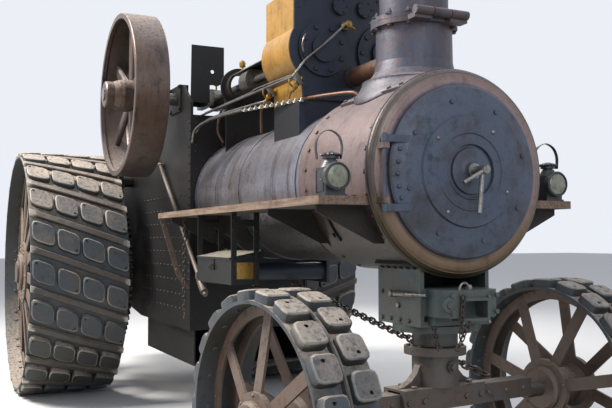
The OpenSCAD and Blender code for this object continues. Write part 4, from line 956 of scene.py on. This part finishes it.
# %% [markdown]
# ## Boards, toolbox and fore-carriage
#
# The boards are planks with an iron edge, bolted to brackets, and a flat bar braces the right one at its
# rear. The toolbox has a hasp and a blank plate on its end. Three short chains hang at the bracket's nose
# and a longer one, with a hook, under the board. Bolts and washers close the steering pivot.

# %% Boards and toolbox
BOARD_TOP, BOX_REAR, BOX_FRONT = 1.537, 2.864, 3.456
fittings = Shape()
for x in (2.250, 2.850, 3.930, 4.470):
    fittings.bolts(0.013, both(grid([x], [0.480, 0.640], [BOARD_TOP])), UP)
fittings.bolts(0.009, grid([BOX_REAR], [-0.668, -0.535], [1.140, 1.220, 1.400]), BACK)
fittings.bolts(0.009, grid([BOX_FRONT], [-0.668, -0.535], [1.140, 1.250, 1.400, 1.450]), FRONT)
hasp = np.array([(-0.018, 0), (0.018, 0), (0.018, 0.005), (-0.018, 0.005)])
across, out = hasp.T
fittings.rings(np.stack([np.stack([at(3.160, 0, 0)[0] + across, -0.6842 - out, 0 * across + z], -1)
                         for z in (1.175, 1.238)]))
fittings.pipe([(3.145, -0.688, 1.205), (3.145, -0.704, 1.200), (3.145, -0.706, 1.180), (3.175, -0.706, 1.180),
               (3.175, -0.704, 1.200), (3.175, -0.688, 1.205)], 0.0035, 8, 4)
fittings.piece("board_bolts", "engine", "black_iron")
sign = np.array([(-0.066, -0.046), (0.066, -0.046), (0.066, 0.046), (-0.066, 0.046)])
plate = Shape().rings(np.stack([np.stack([0 * k[:, 0] + h, k[:, 0], k[:, 1]], -1) + at(3.4505, -0.602, 1.178)
                                for k, h in ((sign, -0.0005), (sign, 0.002), (sign * 0.97, 0.003))]))
plate.rings(stood(rivet(0.004), grid([3.4535], [-0.658, -0.546], [1.140, 1.216]), FRONT, 6))
plate.piece("toolbox_plate", "engine", "brass")

# %% Bolts of the fore-carriage
NOSE_X = 4.7055
carriage = Shape()
for s in (-1, 1):
    carriage.bolts(0.011, grid(np.linspace(4.23, 4.62, 6)[:4], [s * 0.191], [0.975, 1.100]), (0, s, 0))
carriage.bolts(0.012, grid([NOSE_X], [-0.120, 0.120], [1.025, 1.100]), FRONT)
carriage.rings(stood([(0.034, -0.004), (0.034, 0.004), (0.020, 0.006), (0.018, 0.014)],
                     at(NOSE_X, -0.135, 1.062), FRONT, 20))
carriage.bolts(0.012, ring_z(WHEELBASE, 0, 0.953, 0.180, np.arange(100, 261, 40)), UP)
carriage.piece("carriage_bolts", "engine", "carriage_green")

# %% Hanging chains and the boards' brace
HOOK_X, HOOK_Y = 2.385, -0.620
small = Shape()
for start, stop, size in (((4.722, -0.072, 1.100), (4.720, -0.090, 0.905), 0.5),
                          ((4.722, -0.040, 0.985), (4.716, -0.115, 0.850), 0.5),
                          ((4.700, -0.215, 0.975), (4.640, -0.150, 0.850), 0.5),
                          ((HOOK_X, HOOK_Y, 1.486), (HOOK_X, HOOK_Y, 0.860), 0.62)):
    small.rings(chain(at(*start), at(*stop), size), closed=True)
small.pipe([(HOOK_X, HOOK_Y, 1.500), (HOOK_X, HOOK_Y, 1.484)], 0.006, 8)
small.pipe([(HOOK_X, HOOK_Y, 0.868), (2.398, HOOK_Y, 0.846), (HOOK_X, HOOK_Y, 0.826), (2.372, HOOK_Y, 0.842)],
           0.005, 8)
small.piece("cover_chains", "engine", "chain_iron")
brace = Shape()
foot, bend, head = (2.003, -0.480, 1.000), (2.003, -0.545, 1.100), (2.003, -0.670, 1.500)
for low, high in ((foot, bend), (bend, head)):
    ends = spots([low, high])
    brace.rings(np.stack([ends + (a * 0.004, b * 0.018, 0)
                          for a, b in ((-1, -1), (1, -1), (1, 1), (-1, 1))], 1))
brace.bolts(0.012, spots([(2.007, -0.560, 1.140), (2.007, -0.655, 1.450)]), FRONT)
brace.piece("board_brace", "engine", "wheel_iron", "black_iron")

# %% Bolts of the front axle
steered = Shape()
ahead = on_axle([1.0, 0, 0]) - on_axle([0, 0, 0])
for s in (-1, 1):
    for y in (0.130, 0.222):
        steered.bolts(0.014, on_axle([0.076, s * y, 0.605]), ahead)
    for x in (-0.048, 0.048):
        steered.bolts(0.015, on_axle([x, s * 0.170, 0.663]), UP)
    for y in (0.30, 0.42, 0.54):
        steered.rivets(0.012, on_axle([0.050, s * y, 0.600]), ahead)
steered.rings(stood([(0.030, -0.004), (0.030, 0.004), (0.020, 0.004), (0.020, 0.018), (0.010, 0.022)],
                    on_axle([0.122, 0, 0.757]), ahead, 6))
steered.bolts(0.011, ring_z(WHEELBASE, 0, 0.845, 0.128, np.arange(22, 382, 45)), UP)
steered.piece("axle_bolts", "front_axle", "axle_iron")

# %% [markdown]
# ## Wheels seen from the side
#
# Flat spokes are riveted to the hub's flanges and to the T-rings inside the rim, on both sides of the
# wheel. More rivets run along the T-rings from spoke to spoke.

# %% Spoke rivets
BETWEEN = 5                 # rivets along the T-ring for each spoke


def wheel_rivets(name, body, centre, out, spokes, ring, flange, size):
    """Rivets at both ends of every spoke, on both sides of a wheel, and more along the T-ring between them.
    centre is the wheel's centre and out the direction of its axle, away from the engine; ring and flange
    give the radii of their rivets and how far the faces lie from the middle of the wheel."""
    shape = Shape()
    out = unit(out)
    fore = unit(np.cross(out, [0, 0, 1.0])) * (1 if out[1] > 0 else -1)
    for s in (-1, 1):
        spoke = (np.arange(spokes) + s / 4) * 2 * np.pi / spokes
        along = np.arange(spokes * BETWEEN) * 2 * np.pi / (spokes * BETWEEN)
        for radii, face, angles in ((ring[:-1], ring[-1], spoke), (flange[:-1], flange[-1], spoke),
                                    (ring[:1], ring[-1] - 0.002, along)):
            ray = np.cos(angles)[:, None] * fore - np.sin(angles)[:, None] * np.array([0, 0, 1.0])
            for r in radii:
                shape.rivets(size, centre + ray * r + out * s * face, out * s)
    shape.piece(name, body, "wheel_iron")


for side, word in ((-1, "right"), (1, "left")):
    axle = on_axle([0, side, 0]) - on_axle([0, 0, 0])
    wheel_rivets(f"front_wheel_rivets_{word}", f"front_wheel_{word}",
                 on_axle([0, side * FRONT_TRACK, FRONT_R]), axle, 7, (0.497, 0.472, 0.0505),
                 (0.136, 0.1225), 0.009)
    wheel_rivets(f"rear_wheel_rivets_{word}", f"rear_wheel_{word}", at(0, side * REAR_MID, REAR_R),
                 [0, side, 0], 12, (0.985, 0.955, 0.2625), (0.245, 0.205, 0.3355), 0.012)

# %% [markdown]
# ## Small fittings on the shell
#
# The chimney stands on a plate that is bent to the smokebox and bolted down, with a fillet between the
# two. Studs run low along the boiler, a strap under the board holds it to the shell, and a flange joins
# the shell to the bracket that carries the front axle. On a bent plate a place is found from its angle
# round the boiler's axis.

# %% Plates bent to the shell


def on_shell(x, degrees, radius):
    """Places at that distance from the boiler's axis; degrees run from straight up towards the engine's
    left."""
    a = np.radians(np.asarray(degrees, float))
    return at(0, 0, AXIS_Z) + np.stack([x + 0 * a, radius * np.sin(a), radius * np.cos(a)], -1)


def bent_plate(x_low, x_high, low, high, inner, outer):
    """A plate bent round the boiler's axis between two angles: one four-cornered section a row of angles."""
    angles = np.linspace(low, high, 14)
    corners = ((x_low, inner), (x_high, inner), (x_high, outer), (x_low, outer))
    return np.stack([on_shell(x + 0 * angles, angles, r) for x, r in corners], 1)


def radial(places):
    """Directions that point straight away from the boiler's axis."""
    return places * (0, 1, 1) - (0, 0, AXIS_Z)


print("on the shell", on_shell(CHIMNEY_X, [0], SHELL_R).round(4))

# %% The chimney's plate and fillet
PLATE_R = SHELL_R + 0.016   # outer face of the plate
saddle = Shape().rings(bent_plate(3.950, 4.550, -35, 35, SHELL_R - 0.002, PLATE_R))
row = np.linspace(3.985, 4.515, 6)
rim_bolts = np.concatenate([on_shell(row, side + 0 * row, PLATE_R) for side in (-32.5, 32.5)])
saddle.bolts(0.011, rim_bolts, radial(rim_bolts))
around, down = np.meshgrid(np.arange(48) * np.pi / 24, np.linspace(0, 1, 7))
reach = 0.2615 + 0.042 * down ** 2
skirt_y = reach * np.sin(around)
shell_top = AXIS_Z + np.sqrt((SHELL_R + 0.014) ** 2 - skirt_y ** 2)
skirt_z = 2.124 * (1 - down) + shell_top * down
skirt = at(CHIMNEY_X, 0, 0) + np.stack([reach * np.cos(around), skirt_y, skirt_z], -1)
inner = skirt[-1:] - (0, 0, 0.012)
top = np.stack([0.25 * np.cos(around[:1]), 0.25 * np.sin(around[:1]), 0 * around[:1] + 2.118], -1)
saddle.rings(np.concatenate([at(CHIMNEY_X, 0, 0) + top, skirt, inner])[::-1], closed=True)
saddle.piece("chimney_saddle", "engine", "chimney_rust", smooth=40)

# %% Studs, strap and flange
STUD = [(0.020, -0.003), (0.020, 0.003), (0.012, 0.003), (0.012, 0.014), (0.006, 0.015), (0.006, 0.024)]
studs = Shape()
stud_x = np.array([2.565, 2.843, 3.046, 3.236, 3.442])
for side in (-1, 1):
    low_studs = on_shell(stud_x, side * 115 + 0 * stud_x, 0.430)
    studs.rings(stood(STUD, low_studs, radial(low_studs), 6))
studs.piece("boiler_studs", "engine", "bright_steel")
straps = Shape()
for side in (-1, 1):
    straps.rings(bent_plate(4.060, 4.100, side * 108, side * 132, SHELL_R - 0.001, SHELL_R + 0.010)[::side])
    straps.rings(bent_plate(4.210, 4.550, side * 152, side * 159, SHELL_R - 0.001, PLATE_R)[::side])
    heads = on_shell(np.array([4.080, 4.080]), side * np.array([113, 127]), SHELL_R + 0.010)
    straps.bolts(0.012, heads, radial(heads))
    row = on_shell(np.linspace(4.24, 4.52, 6), side * 155.5 + np.zeros(6), PLATE_R)
    straps.bolts(0.010, row, radial(row))
straps.piece("shell_straps", "engine", "black_iron", "smokebox_steel")

# %% Bracket nose and the bar in it
nose = Shape()
nose.pipe([(4.350, -0.188, 1.092), (4.350, -0.224, 1.094)], (0.017, 0.013), 14)
nose.pipe([(4.350, -0.206, 1.094), (4.470, -0.210, 1.096), (4.590, -0.176, 1.097)], (0.013, 0.008), 12)
arch = np.linspace(0, np.pi, 9)
hoop = at(4.668, 0, 1.120) + np.stack([0 * arch, -0.030 + 0.026 * np.cos(arch), 0.034 * np.sin(arch)], -1)
nose.rings(tube(hoop, 0.006, 8, 2))
knob = [(0.016, -0.004), (0.016, 0.010), (0.012, 0.018), (0.006, 0.021)]
nose.rings(stood(knob, at(4.620, 0.030, 1.124), UP, 14))
for z in (0.982, 1.094):
    nose.bolts(0.008, grid([4.7125], [-0.072, 0.072], [z]), FRONT)
nose.bolts(0.014, grid([4.376], [-0.190], [1.041]), (0, -1, 0))
nose.piece("nose_fittings", "engine", "bright_steel", "carriage_green")

# %% [markdown]
# ## The engine's rear
#
# The driver's place isn't in the picture, so it follows the type: a pressure gauge and two glasses on the
# backhead, a regulator handle and a reversing lever.

# %% Gauges
BACK_X = 0.620              # the backhead's rear face
DIAL = [(0.078, -0.030), (0.078, 0.014), (0.072, 0.020), (0.064, 0.020), (0.062, 0.014)]
TAP = [(0.020, -0.004), (0.020, 0.016), (0.013, 0.020), (0.013, 0.052), (0.017, 0.056), (0.017, 0.078)]
dials = Shape().rings(stood(DIAL, at(BACK_X - 0.034, 0.0, 1.780), BACK, 32))
for side in (-1, 1):
    for z in (1.500, 1.700):
        dials.rings(stood(TAP, at(BACK_X, side * 0.260, z), BACK, 12))
    dials.pipe([(BACK_X - 0.064, side * 0.260, 1.490), (BACK_X - 0.064, side * 0.260, 1.716)], 0.009, 12)
dials.pipe([(BACK_X - 0.020, 0, 1.700), (BACK_X - 0.030, 0, 1.660), (BACK_X - 0.010, 0, 1.620),
            (BACK_X + 0.004, 0, 1.600)], 0.007)
dials.piece("backhead_gauges", "engine", "brass")

# %% Levers, and rivets of the backhead
levers = Shape()
levers.pipe([(BACK_X + 0.004, -0.100, 1.900), (BACK_X - 0.070, -0.100, 1.900)], 0.016, 12)
levers.pipe([(BACK_X - 0.060, -0.100, 1.900), (BACK_X - 0.075, -0.230, 1.930),
             (BACK_X - 0.080, -0.330, 1.945)], (0.012, 0.008))
levers.pipe([(0.560, 0.400, 0.810), (0.520, 0.400, 1.450), (0.455, 0.400, 2.050)], (0.016, 0.011))
levers.rings(stood([(0.010, 0), (0.017, 0.010), (0.017, 0.090), (0.010, 0.100)], at(0.455, 0.400, 2.040),
                   (-0.1, 0, 1), 12))
levers.piece("driver_levers", "engine", "bright_steel")
heads = Shape().rivets(0.011, ring_x(BACK_X, 0, 1.300, 0.225, np.arange(-120, 121, 24)), BACK)
heads.rivets(0.011, grid([BACK_X], [-0.415, 0.415], np.arange(1.25, 1.95, 0.075)), BACK)
heads.piece("backhead_rivets", "engine", "black_iron")

# %% [markdown]
# ## Floor
#
# A wide pale floor carries the engine's shadow. It isn't part of the engine.

# %% Floor
FAR = 60                    # how far the floor runs, in metres
floor_mesh = bpy.data.meshes.new("floor")
floor_mesh.from_pydata([(-FAR, -FAR, 0), (FAR, -FAR, 0), (FAR, FAR, 0), (-FAR, FAR, 0)], [], [(0, 1, 2, 3)])
floor = bpy.data.objects.new("floor", floor_mesh)
bpy.context.scene.collection.objects.link(floor)
pale = Finish("pale_floor", Roughness=0.9)
floor_mesh.materials.append(pale.coat(tone("d9dadc"), 0.9, pale.noise(3), 0.0005))
print("floor", 2 * FAR, "m wide")
